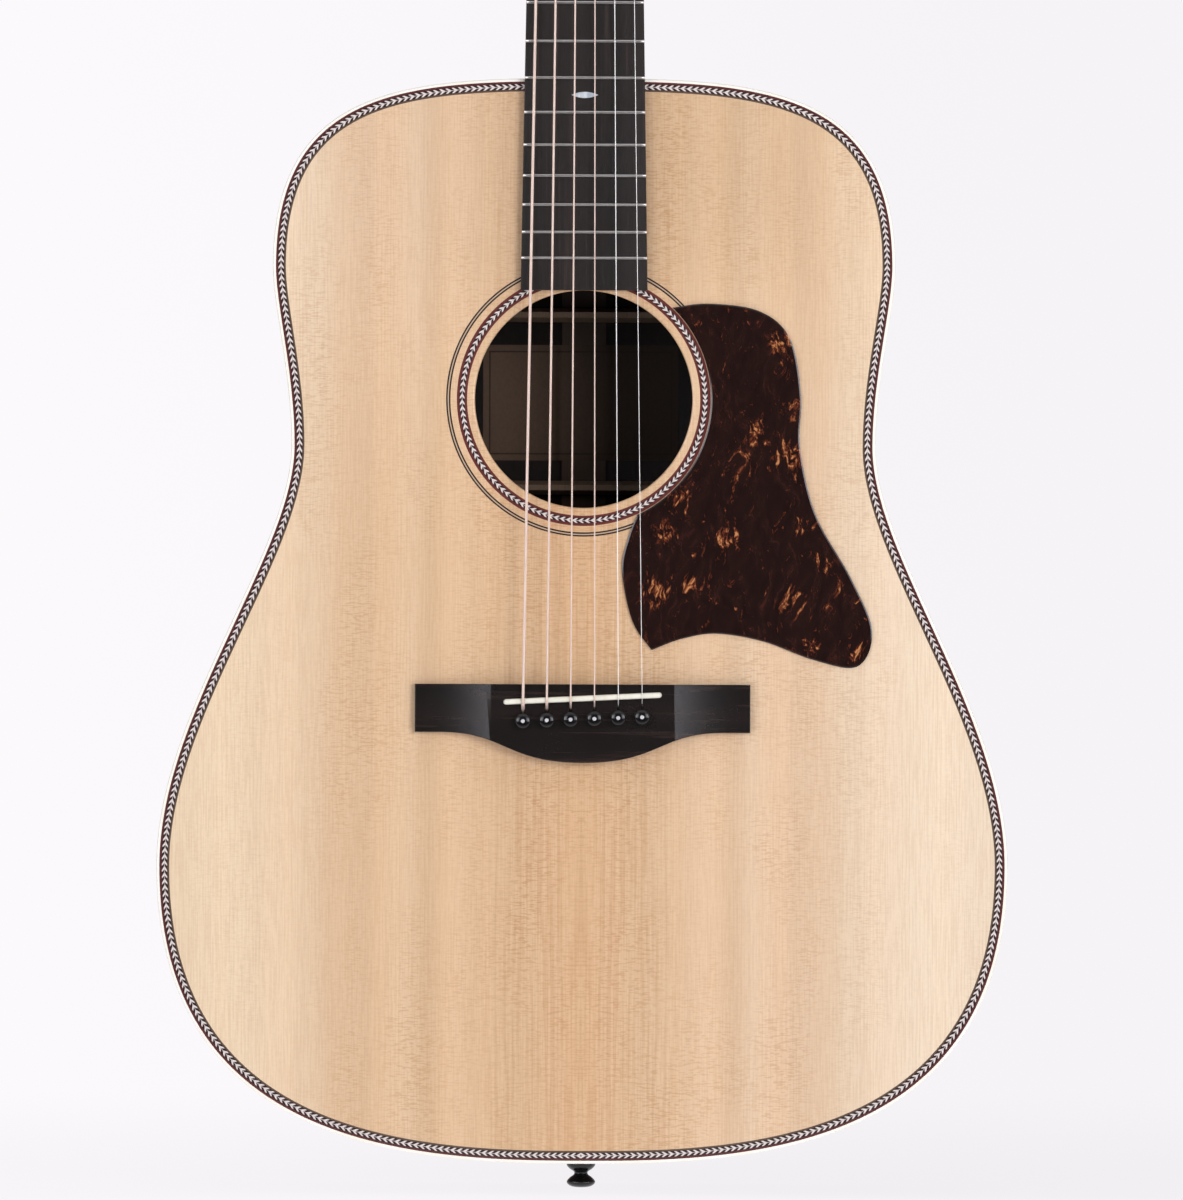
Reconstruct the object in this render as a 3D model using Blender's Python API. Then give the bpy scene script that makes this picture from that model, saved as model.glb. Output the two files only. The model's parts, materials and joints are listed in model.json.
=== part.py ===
"""Six-string acoustic guitar with a square-shouldered body, built piece by piece at its real size.

Metres throughout. X runs to the treble side, Y from the soundboard to the back, Z up the neck.
The origin is the seat of the end pin: the middle of the rim at the tail.
"""

import math

import bmesh
import bpy
import numpy as np
from mathutils import Matrix, Vector

# Fits between pieces
SEAT_GAP = 0.0003
TURNING_GAP = 0.0004

# Body outline, seen from the front; levels are heights above the tail
BODY_LENGTH = 0.5075
UPPER_BOUT_WIDTH = 0.291
UPPER_BOUT_DROP = 0.088
WAIST_WIDTH = 0.273
WAIST_LEVEL = 0.3355
LOWER_BOUT_WIDTH = 0.3985
LOWER_BOUT_LEVEL = 0.139
# How full each stretch of the outline is: the reach of its two curve handles, 1 being a square corner
SHOULDER_FULLNESS = (0.54, 0.985)
FLANK_FULLNESS = (0.225, 0.39)
HIP_FULLNESS = (0.256, 0.362)
TAIL_FULLNESS = (0.99, 0.346)
RIM_FACETS = 30
BEND_WEIGHT = 0.1
OUTLINE_SAMPLES = 200

# Body shell
DEPTH_AT_TAIL = 0.124
DEPTH_AT_NECK = 0.100
TOP_THICKNESS = 0.0028
BACK_THICKNESS = 0.0027
BACK_ARCH_RADIUS = 4.57
BACK_FACET = 0.055
SIDE_THICKNESS = 0.0026
LINING_WIDTH = 0.006
LINING_HEIGHT = 0.014
LINING_LIP = 0.004
LINING_END = 0.0002
BINDING_WIDTH = 0.0014
BINDING_HEIGHT = 0.006
PURFLING_WIDTH = 0.0043
PURFLING_DEPTH = 0.0014
NECK_BLOCK_WIDTH = 0.076
NECK_BLOCK_LENGTH = 0.045
TAIL_BLOCK_WIDTH = 0.070
TAIL_BLOCK_LENGTH = 0.022

# Sound hole and its inlaid ring
SOUND_HOLE_RADIUS = 0.0508
SOUND_HOLE_DROP = 0.150
ROSETTE_INNER = 0.0545
ROSETTE_OUTER = 0.0593
ROSETTE_DEPTH = 0.0014
RING_SIDES = 48

# Bracing
X_BRACE_DROP = 0.028
X_BRACE_ANGLE = math.radians(42)
X_BRACE_WIDTH = 0.008
X_BRACE_HEIGHT = 0.016
TONE_BAR_WIDTH = 0.0075
TONE_BAR_HEIGHT = 0.012
TONE_BAR_SLOPE = math.radians(20)
TONE_BAR_SPACING = 0.042
TRANSVERSE_BRACE_WIDTH = 0.012
TRANSVERSE_BRACE_HEIGHT = 0.018
TRANSVERSE_BRACE_RISE = 0.022
BRACE_END_HEIGHT = 0.003
BRACE_SCOOP = 0.055
BRACE_SCOOP_SHARE = 0.4
BRACE_SCOOP_STEPS = 3
BRACE_PROFILE = ((-0.5, 0), (-0.5, 0.55), (-0.2, 1), (0.2, 1), (0.5, 0.55), (0.5, 0))
BRACE_RIM_GAP = 0.0015
BRACE_STEP = 0.0005
BACK_BRACE_LEVELS = (0.105, 0.205, 0.317, 0.399)
BACK_BRACE_WIDTHS = (0.018, 0.018, 0.0065, 0.0065)
BACK_BRACE_HEIGHTS = (0.010, 0.010, 0.017, 0.017)
BACK_STRIP_WIDTH = 0.021
BACK_STRIP_THICKNESS = 0.0018
BRIDGE_PLATE_THICKNESS = 0.0025
BRIDGE_PLATE_MARGIN = 0.004

# Scale, fretboard and neck
SCALE_LENGTH = 0.6452
JOINT_FRET = 14
FRET_COUNT = 20
FRET_WIDTH = 0.0022
FRET_HEIGHT = 0.0011
FRETBOARD_THICKNESS = 0.006
FRETBOARD_RADIUS = 0.406
NUT_WIDTH = 0.0445
JOINT_WIDTH = 0.0561
NECK_DEPTH_AT_NUT = 0.0152
NECK_DEPTH_AT_JOINT = 0.0185
HEEL_CAP_WIDTH = 0.029
HEEL_CAP_LENGTH = 0.017
HEEL_CAP_THICKNESS = 0.0025
HEEL_SWEEP = 0.060
HEEL_SWEEP_STEPS = 6
HEEL_CAP_SHARES = (0, 0.5, 0.85, 0.97)
HEEL_TAPER = 1.15
HEEL_SWELL = 0.85
HEEL_FADE = 1.5
NECK_ROUNDNESS = 2.2
NECK_SECTION_STEPS = 6
TENON_ROOT_WIDTH = 0.022
TENON_TIP_WIDTH = 0.029
TENON_LENGTH = 0.016
TENON_DEPTH = 0.064
TRUSS_ROD_WIDTH = 0.006
TRUSS_ROD_DEPTH = 0.010
TRUSS_ROD_MARGIN = 0.012
NUT_THICKNESS = 0.005
NUT_HEIGHT = 0.0088
ACTION_AT_NUT = 0.0005
ACTION_AT_OCTAVE = 0.0021

# Headstock
HEAD_TILT = math.radians(15)
HEAD_LENGTH = 0.176
HEAD_THICKNESS = 0.015
HEAD_SHOULDER = 0.028
HEAD_SHOULDER_WIDTH = 0.065
HEAD_TIP_WIDTH = 0.073
HEAD_CORNER = 0.009
HEAD_VENEER = 0.0018
HEAD_SQUARENESS = 9
# How the neck runs into the head: the roundness of its sections and how much thicker they are
HEAD_BLEND = ((2.6, 0.0035), (4, 0.0020), (6, 0.0006))

# Bridge, saddle and pins; distances down the body are from the saddle's middle
SADDLE_SETBACK = 0.0025
SADDLE_LENGTH = 0.074
SADDLE_THICKNESS = 0.0026
SADDLE_SLANT = 0.0474
SADDLE_SLOT_DEPTH = 0.0045
BRIDGE_WIDTH = 0.1568
BRIDGE_ABOVE_SADDLE = 0.0066
BRIDGE_WING_HEIGHT = 0.0225
BRIDGE_BELLY = 0.0142
BRIDGE_BELLY_REACH = 0.066
BRIDGE_BELLY_FULLNESS = 0.036
BRIDGE_THICKNESS = 0.008
BRIDGE_TIP_THICKNESS = 0.0036
BRIDGE_CREASE = 0.0428
BRIDGE_EDGE = 0.0008
BRIDGE_WING_SHARES = (0.1, 0.22, 0.36, 0.52, 0.7, 1)
SADDLE_CROWN = 0.45
PIN_ROW_DROP = 0.0096
PIN_ROW_SLANT = 0.036
PIN_LENGTH = 0.021
PIN_SHANK_RADIUS = 0.0026
PIN_TIP_RADIUS = 0.0020
PIN_HEAD_RADIUS = 0.0036
PIN_SIDES = 8
# (radius, height) up a pin's head, in radii of the head
PIN_HEAD_PROFILE = ((0.9, 0.35), (1, 0.75), (0.85, 1.2), (0.45, 1.45), (0, 1.5))
STRING_SLOT_WIDTH = 0.002
STRING_SLOT_LENGTH = 0.0070
STRING_DROP_OFFSET = 0.0046
BALL_RADIUS = 0.0017
BALL_LENGTH = 0.003
STRING_LEAN = 0.0006
# Where a string bends, in shares of the bridge's thickness, of the saddle's and of its run to the post
STRING_BENDS = (0.5, 0.85)
SADDLE_APPROACH = (0.32, 0.75)
SADDLE_TOUCH = 0.28
NUT_BREAK = 0.04

# Strings, from the thin treble string to the thick bass string
STRING_DIAMETERS = (0.00031, 0.00041, 0.00061, 0.00081, 0.00107, 0.00135)
PLAIN_STRINGS = 2
STRING_SPREAD_AT_NUT = 0.0366
STRING_SPREAD_AT_SADDLE = 0.0556

# Tuning machines, measured from each post's axis
TUNER_FIRST = 0.042
TUNER_PITCH = 0.040
TUNER_EDGE = 0.0125
TUNER_HALF_WIDTH = 0.008
TUNER_DEPTH = 0.0105
TUNER_END = 0.0065
TUNER_BEVEL = 0.0015
WORM_OFFSET = 0.0075
WORM_LEVEL = 0.0054
KEY_SHAFT_RADIUS = 0.0022
KEY_COLLAR_RADIUS = 0.0041
KEY_BUTTON_LENGTH = 0.0135
KEY_BUTTON_WIDTH = 0.0175
KEY_BUTTON_THICKNESS = 0.0075
KEY_EDGE_GAP = 0.0025
POST_RADIUS = 0.0030
POST_WAIST_RADIUS = 0.0025
POST_HEIGHT = 0.018
POST_TIP = 0.7
POST_CROWN = 0.001
POST_FOOT = 0.0076
POST_HOLE_RADIUS = 0.0040
STRING_AT_POST = 0.007
SCREW_EAR_RADIUS = 0.0037
SCREW_EAR_THICKNESS = 0.002
TUNER_SIDES = 12
SHAFT_SIDES = 10
# (along, width, thickness) of a key's button from its neck to its end
KEY_BUTTON_PROFILE = (
    (0, 0.38, 0.8), (0.12, 0.42, 0.85), (0.34, 0.9, 0.95), (0.6, 1, 1), (0.85, 0.85, 0.9), (1, 0.55, 0.6),
)

# Pickguard: knots from the rosette round to its sharp corner and back, from the sound hole's centre
PICKGUARD_THICKNESS = 0.0011
PICKGUARD_START = math.radians(46)
PICKGUARD_END = math.radians(-65)
PICKGUARD_OUTER_KNOTS = (
    (0.0590, 0.0448), (0.0824, 0.0412), (0.0964, 0.0284), (0.1016, 0.0020), (0.1012, -0.0220),
    (0.1086, -0.0536), (0.1255, -0.0838), (0.1352, -0.1080), (0.1285, -0.1245), (0.1080, -0.1216),
    (0.0847, -0.1131), (0.0627, -0.1094), (0.0460, -0.1120),
)
PICKGUARD_CORNER = (0.0322, -0.1172)
PICKGUARD_INNER_KNOTS = ((0.0231, -0.1036), (0.0182, -0.0800), (0.0210, -0.0650))
PICKGUARD_BRIDGE_GAP = 0.0161
PICKGUARD_KNOT_STEPS = 3
PICKGUARD_ARC_STEPS = 12

# End pin
END_PIN_RADIUS = 0.0067
END_PIN_LENGTH = 0.0142
END_PIN_SHANK_LENGTH = 0.020
END_PIN_SHANK_RADIUS = 0.0052
END_PIN_TIP_RADIUS = 0.0046
END_PIN_SIDES = 14
# (radius, place) out along the knob, in its own radii and lengths
END_PIN_PROFILE = (
    (1, 0.28), (0.78, 0.38), (0.5, 0.47), (0.5, 0.56), (0.78, 0.66),
    (1, 0.79), (0.92, 0.89), (0.6, 0.97), (0, 1),
)

# Places worked out from the sizes above
FRONT = -DEPTH_AT_TAIL / 2
NUT_LEVEL = BODY_LENGTH + SCALE_LENGTH * (1 - 2 ** (-JOINT_FRET / 12))
SADDLE_LEVEL = NUT_LEVEL - SCALE_LENGTH - SADDLE_SETBACK
HOLE_LEVEL = BODY_LENGTH - SOUND_HOLE_DROP
FRETBOARD_END = HOLE_LEVEL + SOUND_HOLE_RADIUS
HEAD_START = NUT_LEVEL + NUT_THICKNESS
X_BRACE_LEVEL = HOLE_LEVEL - SOUND_HOLE_RADIUS - X_BRACE_DROP
BRIDGE_TOP = SADDLE_LEVEL + BRIDGE_ABOVE_SADDLE
BRIDGE_WING_BOTTOM = BRIDGE_TOP - BRIDGE_WING_HEIGHT
FRET_TOP = SEAT_GAP + FRETBOARD_THICKNESS + FRET_HEIGHT
STRING_AT_NUT = FRET_TOP + ACTION_AT_NUT
STRING_AT_SADDLE = 2 * (FRET_TOP + ACTION_AT_OCTAVE) - STRING_AT_NUT
TENON_FRONT = FRONT + BINDING_HEIGHT + SEAT_GAP
NECK_SLOT_HALF = TENON_TIP_WIDTH / 2 + SEAT_GAP
END_PIN_HOLE_RADIUS = END_PIN_SHANK_RADIUS + TURNING_GAP


def clear_scene():
    """Start from an empty scene."""
    for obj in list(bpy.data.objects):
        bpy.data.objects.remove(obj, do_unlink=True)


def make_material(name, colour, roughness, metallic=0.0):
    """A plain finish."""
    material = bpy.data.materials.new(name)
    material.use_nodes = True
    shader = material.node_tree.nodes["Principled BSDF"]
    shader.inputs["Base Color"].default_value = (*colour, 1)
    shader.inputs["Roughness"].default_value = roughness
    shader.inputs["Metallic"].default_value = metallic
    return material


def make_object(name, bm, material, parent=None, sharp=35):
    """Turn a bmesh into a named object, shaded smooth up to the given angle."""
    bmesh.ops.recalc_face_normals(bm, faces=bm.faces)
    mesh = bpy.data.meshes.new(name)
    bm.to_mesh(mesh)
    bm.free()
    mesh.materials.append(material)
    mesh.shade_smooth()
    mesh.set_sharp_from_angle(angle=math.radians(sharp))
    obj = bpy.data.objects.new(name, mesh)
    obj.parent = parent
    bpy.context.collection.objects.link(obj)
    return obj


def loft(name, rings, material, closed=False, parent=None):
    """Skin rings of equally many points; a closed loft joins its last ring to its first."""
    bm = bmesh.new()
    loops = [[bm.verts.new(point) for point in ring] for ring in rings]
    followers = loops[1:] + loops[:1] if closed else loops[1:]
    for loop, follower in zip(loops, followers):
        for i in range(len(loop)):
            j = (i + 1) % len(loop)
            bm.faces.new((loop[i], loop[j], follower[j], follower[i]))
    if not closed:
        bm.faces.new(loops[0])
        bm.faces.new(loops[-1])
    return make_object(name, bm, material, parent)


def turned(name, profile, sides, material, parent=None):
    """Spin a profile of (radius, height) points round the local Z axis."""
    bm = bmesh.new()
    verts = [bm.verts.new((radius, 0, height)) for radius, height in profile]
    edges = [bm.edges.new(pair) for pair in zip(verts, verts[1:])]
    bmesh.ops.spin(
        bm, geom=verts + edges, axis=(0, 0, 1), cent=(0, 0, 0), angle=2 * math.pi, steps=sides, use_merge=True
    )
    bmesh.ops.remove_doubles(bm, verts=bm.verts, dist=1e-6)
    return make_object(name, bm, material, parent)


def slab(name, outline, front_at, back_at, material):
    """A plate with an outline in X and Z, between two surfaces given as functions of x and z."""
    rings = [[(x, surface(x, z), z) for x, z in outline] for surface in (front_at, back_at)]
    return loft(name, rings, material)


def prisms(name, outlines, front, back, material):
    """Separate bars in one object, each with an outline in X and Z, between two depths."""
    bm = bmesh.new()
    for outline in outlines:
        ends = [[bm.verts.new((x, y, z)) for x, z in outline] for y in (front, back)]
        for i in range(len(outline)):
            j = (i + 1) % len(outline)
            bm.faces.new((ends[0][i], ends[0][j], ends[1][j], ends[1][i]))
        for end in ends:
            bm.faces.new(end)
    return make_object(name, bm, material)


def rod(name, start, end, radius, sides, material, parent=None):
    """A straight round bar between two points."""
    start, end = Vector(start), Vector(end)
    turn = (end - start).to_track_quat("Z", "Y").to_matrix()
    angles = [2 * math.pi * (i + 0.5) / sides for i in range(sides)]
    circle = [turn @ Vector((radius * math.cos(a), radius * math.sin(a), 0)) for a in angles]
    rings = [[centre + point for point in circle] for centre in (start, end)]
    return loft(name, rings, material, parent=parent)


def combine(target, tool, operation):
    """Cut a hidden tool from the target, or join it on."""
    tool.hide_render = True
    tool.display_type = "WIRE"
    modifier = target.modifiers.new(tool.name, "BOOLEAN")
    modifier.object = tool
    modifier.operation = operation
    modifier.solver = "EXACT"


def cubic(start, start_handle, end_handle, end, count):
    """Points along a cubic curve, without its last point."""
    t = np.linspace(0, 1, count, endpoint=False)[:, None]
    points = (np.array(start), np.array(start_handle), np.array(end_handle), np.array(end))
    weights = ((1 - t) ** 3, 3 * t * (1 - t) ** 2, 3 * t**2 * (1 - t), t**3)
    return sum(weight * point for weight, point in zip(weights, points))


def smooth_through(knots, steps):
    """Points on a smooth curve through the knots, from the second knot to the one before the last."""
    points = []
    for before, start, end, after in zip(knots, knots[1:], knots[2:], knots[3:]):
        before, start, end, after = map(np.array, (before, start, end, after))
        lead, trail = start + (end - before) / 6, end - (after - start) / 6
        points.extend(map(tuple, cubic(start, lead, trail, end, steps)))
    return points


def half_outline():
    """Points down the treble half of the body's edge, from the neck end to the tail."""
    upper = np.array((UPPER_BOUT_WIDTH / 2, BODY_LENGTH - UPPER_BOUT_DROP))
    waist = np.array((WAIST_WIDTH / 2, WAIST_LEVEL))
    lower = np.array((LOWER_BOUT_WIDTH / 2, LOWER_BOUT_LEVEL))
    flank, hip = upper[1] - waist[1], waist[1] - lower[1]
    shoulder = cubic(
        (0, BODY_LENGTH),
        (SHOULDER_FULLNESS[0] * upper[0], BODY_LENGTH),
        (upper[0], upper[1] + SHOULDER_FULLNESS[1] * UPPER_BOUT_DROP),
        upper,
        OUTLINE_SAMPLES,
    )
    to_waist = cubic(
        upper,
        (upper[0], upper[1] - FLANK_FULLNESS[0] * flank),
        (waist[0], waist[1] + FLANK_FULLNESS[1] * flank),
        waist,
        OUTLINE_SAMPLES,
    )
    to_hip = cubic(
        waist,
        (waist[0], waist[1] - HIP_FULLNESS[0] * hip),
        (lower[0], lower[1] + HIP_FULLNESS[1] * hip),
        lower,
        OUTLINE_SAMPLES,
    )
    to_tail = cubic(
        lower,
        (lower[0], lower[1] * (1 - TAIL_FULLNESS[0])),
        (lower[0] * TAIL_FULLNESS[1], 0),
        (0, 0),
        OUTLINE_SAMPLES,
    )
    return np.vstack([shoulder, to_waist, to_hip, to_tail, [(0, 0)]])


OUTLINE = half_outline()
STEPS = np.diff(OUTLINE, axis=0)
ARC = np.concatenate([[0], np.cumsum(np.hypot(*STEPS.T))])
HEADING = np.unwrap(np.arctan2(*np.gradient(OUTLINE, axis=0).T[::-1]))
BEND = np.concatenate([[0], np.cumsum(np.abs(np.diff(HEADING)))])


def half_width(level):
    """Half the body's width at a height above the tail."""
    return float(np.interp(level, OUTLINE[::-1, 1], OUTLINE[::-1, 0]))


def arc_at(x, neck_end):
    """How far along the half outline it is x from the middle, near the neck end or near the tail."""
    if neck_end:
        return float(np.interp(x, OUTLINE[:OUTLINE_SAMPLES, 0], ARC[:OUTLINE_SAMPLES]))
    widest = int(np.argmax(OUTLINE[:, 0]))
    return float(np.interp(x, OUTLINE[:widest:-1, 0], ARC[:widest:-1]))


def rim_point(arc, inset):
    """(x, z) on the treble half of the body's edge, moved in by the inset."""
    x, z = (float(np.interp(arc, ARC, OUTLINE[:, i])) for i in (0, 1))
    heading = float(np.interp(arc, ARC, HEADING))
    if arc in (0, ARC[-1]):
        heading = 0.0 if arc == 0 else -math.pi
    return x + math.sin(heading) * inset, z - math.cos(heading) * inset


def rim_arcs():
    """Where the rim's facets meet: at the blocks' edges, and between them closer where it bends more."""
    first = arc_at(NECK_BLOCK_WIDTH / 2 + SEAT_GAP, True)
    last = arc_at(TAIL_BLOCK_WIDTH / 2 + SEAT_GAP, False)
    measure = ARC + BEND_WEIGHT * BEND
    ends = np.interp((first, last), ARC, measure)
    return [float(np.interp(m, measure, ARC)) for m in np.linspace(*ends, RIM_FACETS + 1)]


BLOCK_ARCS = rim_arcs()
RING_ARCS = [0.0, arc_at(NECK_SLOT_HALF, True), *BLOCK_ARCS, ARC[-1]]
SIDE_ARCS = [*RING_ARCS[1:-1], arc_at(SEAT_GAP / 2, False)]


def front_face(depth):
    """The surface a depth behind the soundboard's front."""
    return lambda x, z: FRONT + depth


def back_face(depth):
    """The surface a depth in front of the back's outer face, which tapers to the neck and arches across."""
    slope = (DEPTH_AT_NECK - DEPTH_AT_TAIL) / BODY_LENGTH
    return lambda x, z: FRONT + DEPTH_AT_TAIL + slope * z - x**2 / (2 * BACK_ARCH_RADIUS) - depth


def rim_ring(inset, surface):
    """A closed ring round the whole body, inset from its edge, on a surface."""
    half = [rim_point(arc, inset) for arc in RING_ARCS]
    outline = half + [(-x, z) for x, z in half[-2:0:-1]]
    return [(x, surface(x, z), z) for x, z in outline]


def rim_outline(inset):
    """The body's outline moved in by the inset, as (x, z) points."""
    return [(x, z) for x, _, z in rim_ring(inset, front_face(0))]


def build_soundboard(spruce):
    """The top plate: a ledge for the purfling at its edge, the sound hole and a channel for the rosette."""
    lower_edge = BINDING_WIDTH + SEAT_GAP
    upper_edge = lower_edge + PURFLING_WIDTH + SEAT_GAP
    ledge = PURFLING_DEPTH + SEAT_GAP
    rings = [
        rim_ring(upper_edge, front_face(0)),
        rim_ring(upper_edge, front_face(ledge)),
        rim_ring(lower_edge, front_face(ledge)),
        rim_ring(lower_edge, front_face(TOP_THICKNESS)),
    ]
    soundboard = loft("soundboard", rings, spruce)
    hole = rod(
        "sound_hole_cutter",
        (0, FRONT - TOP_THICKNESS, HOLE_LEVEL),
        (0, FRONT + 2 * TOP_THICKNESS, HOLE_LEVEL),
        SOUND_HOLE_RADIUS,
        RING_SIDES,
        spruce,
    )
    channel = annulus(
        "rosette_channel_cutter",
        ROSETTE_INNER - SEAT_GAP,
        ROSETTE_OUTER + SEAT_GAP,
        FRONT - TOP_THICKNESS,
        FRONT + ROSETTE_DEPTH + SEAT_GAP,
        spruce,
    )
    combine(soundboard, hole, "DIFFERENCE")
    combine(soundboard, channel, "DIFFERENCE")
    return soundboard


def annulus(name, inner, outer, front, back, material):
    """A flat ring round the sound hole."""
    angles = [2 * math.pi * (i + 0.5) / RING_SIDES for i in range(RING_SIDES)]
    corners = ((inner, front), (outer, front), (outer, back), (inner, back))
    rings = []
    for radius, y in corners:
        rings.append([(radius * math.cos(a), y, HOLE_LEVEL + radius * math.sin(a)) for a in angles])
    return loft(name, rings, material, closed=True)


def build_back(rosewood):
    """The back plate, arched across its width in strips narrow enough to follow the arch."""
    bm = bmesh.new()
    bm.faces.new([bm.verts.new((x, 0, z)) for x, z in rim_outline(BINDING_WIDTH + SEAT_GAP)])
    columns = math.floor(LOWER_BOUT_WIDTH / 2 / BACK_FACET)
    for column in range(-columns, columns + 1):
        geometry = [*bm.verts, *bm.edges, *bm.faces]
        place = (column * BACK_FACET, 0, 0)
        bmesh.ops.bisect_plane(bm, geom=geometry, plane_co=place, plane_no=(1, 0, 0), dist=1e-6)
    outer = back_face(0)
    for vert in bm.verts:
        vert.co.y = outer(vert.co.x, vert.co.z)
    inner = bmesh.ops.extrude_face_region(bm, geom=bm.faces[:], use_keep_orig=True)["geom"]
    inner_verts = [element for element in inner if isinstance(element, bmesh.types.BMVert)]
    bmesh.ops.translate(bm, verts=inner_verts, vec=(0, -BACK_THICKNESS, 0))
    return make_object("back_plate", bm, rosewood)


def build_side(name, hand, rosewood):
    """A bent side with its two glue linings, rebated at both edges for the bindings."""
    rebate = BINDING_WIDTH + SEAT_GAP
    edge = BINDING_HEIGHT + SEAT_GAP
    top_seat = TOP_THICKNESS + SEAT_GAP
    back_seat = BACK_THICKNESS + SEAT_GAP
    rings = []
    for arc in SIDE_ARCS:
        in_bout = BLOCK_ARCS[0] < arc < BLOCK_ARCS[-1]
        lining = SIDE_THICKNESS + (LINING_WIDTH if in_bout else LINING_END)
        profile = (
            (0, front_face(edge)),
            (0, back_face(edge)),
            (rebate, back_face(edge)),
            (rebate, back_face(back_seat)),
            (lining, back_face(back_seat)),
            (lining, back_face(back_seat + LINING_LIP)),
            (SIDE_THICKNESS, back_face(back_seat + LINING_HEIGHT)),
            (SIDE_THICKNESS, front_face(top_seat + LINING_HEIGHT)),
            (lining, front_face(top_seat + LINING_LIP)),
            (lining, front_face(top_seat)),
            (rebate, front_face(top_seat)),
            (rebate, front_face(edge)),
        )
        ring = []
        for inset, surface in profile:
            x, z = rim_point(arc, inset)
            ring.append((hand * x, surface(x, z), z))
        rings.append(ring)
    return loft(name, rings, rosewood)


def build_trim(binding, marquetry):
    """Both bindings, the herringbone strip inside the front one, and the ring round the sound hole."""
    for name, surface_at in (("binding_top", front_face), ("binding_back", back_face)):
        corners = ((0, 0), (BINDING_WIDTH, 0), (BINDING_WIDTH, BINDING_HEIGHT), (0, BINDING_HEIGHT))
        loft(name, [rim_ring(inset, surface_at(depth)) for inset, depth in corners], binding, closed=True)
    outer = BINDING_WIDTH + SEAT_GAP
    inner = outer + PURFLING_WIDTH
    corners = ((outer, 0), (inner, 0), (inner, PURFLING_DEPTH), (outer, PURFLING_DEPTH))
    loft("purfling", [rim_ring(inset, front_face(depth)) for inset, depth in corners], marquetry, closed=True)
    annulus("rosette", ROSETTE_INNER, ROSETTE_OUTER, FRONT, FRONT + ROSETTE_DEPTH, marquetry)


def block_outline(width, inner_level, neck_end):
    """A block's outline: its outer edge follows the inside of the rim, its inner edge is straight."""
    inset = SIDE_THICKNESS + LINING_END + SEAT_GAP
    shares = np.linspace(0, 1, 4)
    half = [rim_point(arc_at(share * width / 2, neck_end), inset) for share in shares]
    outer = [(-x, z) for x, z in half[:0:-1]] + half
    return outer + [(width / 2, inner_level), (-width / 2, inner_level)]


def build_blocks(mahogany):
    """The neck block with its dovetail mortise, and the tail block bored for the end pin."""
    front, back = front_face(TOP_THICKNESS + SEAT_GAP), back_face(BACK_THICKNESS + SEAT_GAP)
    neck_level = BODY_LENGTH - SIDE_THICKNESS - NECK_BLOCK_LENGTH
    neck_block = slab("neck_block", block_outline(NECK_BLOCK_WIDTH, neck_level, True), front, back, mahogany)
    combine(neck_block, dovetail("mortise_cutter", SEAT_GAP, mahogany), "DIFFERENCE")
    tail_level = SIDE_THICKNESS + TAIL_BLOCK_LENGTH
    tail_block = slab("tail_block", block_outline(TAIL_BLOCK_WIDTH, tail_level, False), front, back, mahogany)
    bore = rod(
        "end_pin_cutter",
        (0, 0, -SIDE_THICKNESS),
        (0, 0, tail_level + SIDE_THICKNESS),
        END_PIN_HOLE_RADIUS / math.cos(math.pi / END_PIN_SIDES),
        END_PIN_SIDES,
        mahogany,
    )
    for piece in (tail_block, bpy.data.objects["side_bass"], bpy.data.objects["side_treble"]):
        combine(piece, bore, "DIFFERENCE")


def dovetail(name, grow, material):
    """The tapered tongue that holds the neck in its block, or its mortise, grown and open in front."""
    root, tip = BODY_LENGTH + 2 * SEAT_GAP + grow, BODY_LENGTH - TENON_LENGTH - grow
    half_root, half_tip = TENON_ROOT_WIDTH / 2 + grow, TENON_TIP_WIDTH / 2 + grow
    reach = HEEL_CAP_LENGTH / 2
    outline = (
        (-half_root, root + reach),
        (half_root, root + reach),
        (half_root, root),
        (half_tip, tip),
        (-half_tip, tip),
        (-half_root, root),
    )
    front = TENON_FRONT if grow == 0 else FRONT
    back = TENON_FRONT + TENON_DEPTH + grow
    return slab(name, outline, lambda x, z: front, lambda x, z: back, material)


def inside_rim(x, z, margin):
    """Whether a point is inside the body with a margin to the rim's outside."""
    if abs(x) >= half_width(z) or not 0 < z < BODY_LENGTH:
        return False
    return np.hypot(OUTLINE[:, 0] - abs(x), OUTLINE[:, 1] - z).min() > margin


def reach_to_rim(start, direction, half_brace, stop=None):
    """The last point on the way to the rim where a brace of this half width is clear of the linings.

    A brace may also stop earlier, where a point is at the stop given as a function of it.
    """
    margin = SIDE_THICKNESS + LINING_WIDTH + BRACE_RIM_GAP + half_brace
    step = Vector(direction).normalized() * BRACE_STEP
    point = Vector(start)
    while inside_rim(*(point + step), margin) and not (stop and stop(point + step)):
        point += step
    return point


def at_bass_leg(point):
    """Whether a tone bar's middle line has come to the bass leg of the crossed braces."""
    below = math.cos(X_BRACE_ANGLE) * (X_BRACE_LEVEL - point.y) + math.sin(X_BRACE_ANGLE) * point.x
    return below < (X_BRACE_WIDTH + TONE_BAR_WIDTH) / 2 + SEAT_GAP


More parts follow.
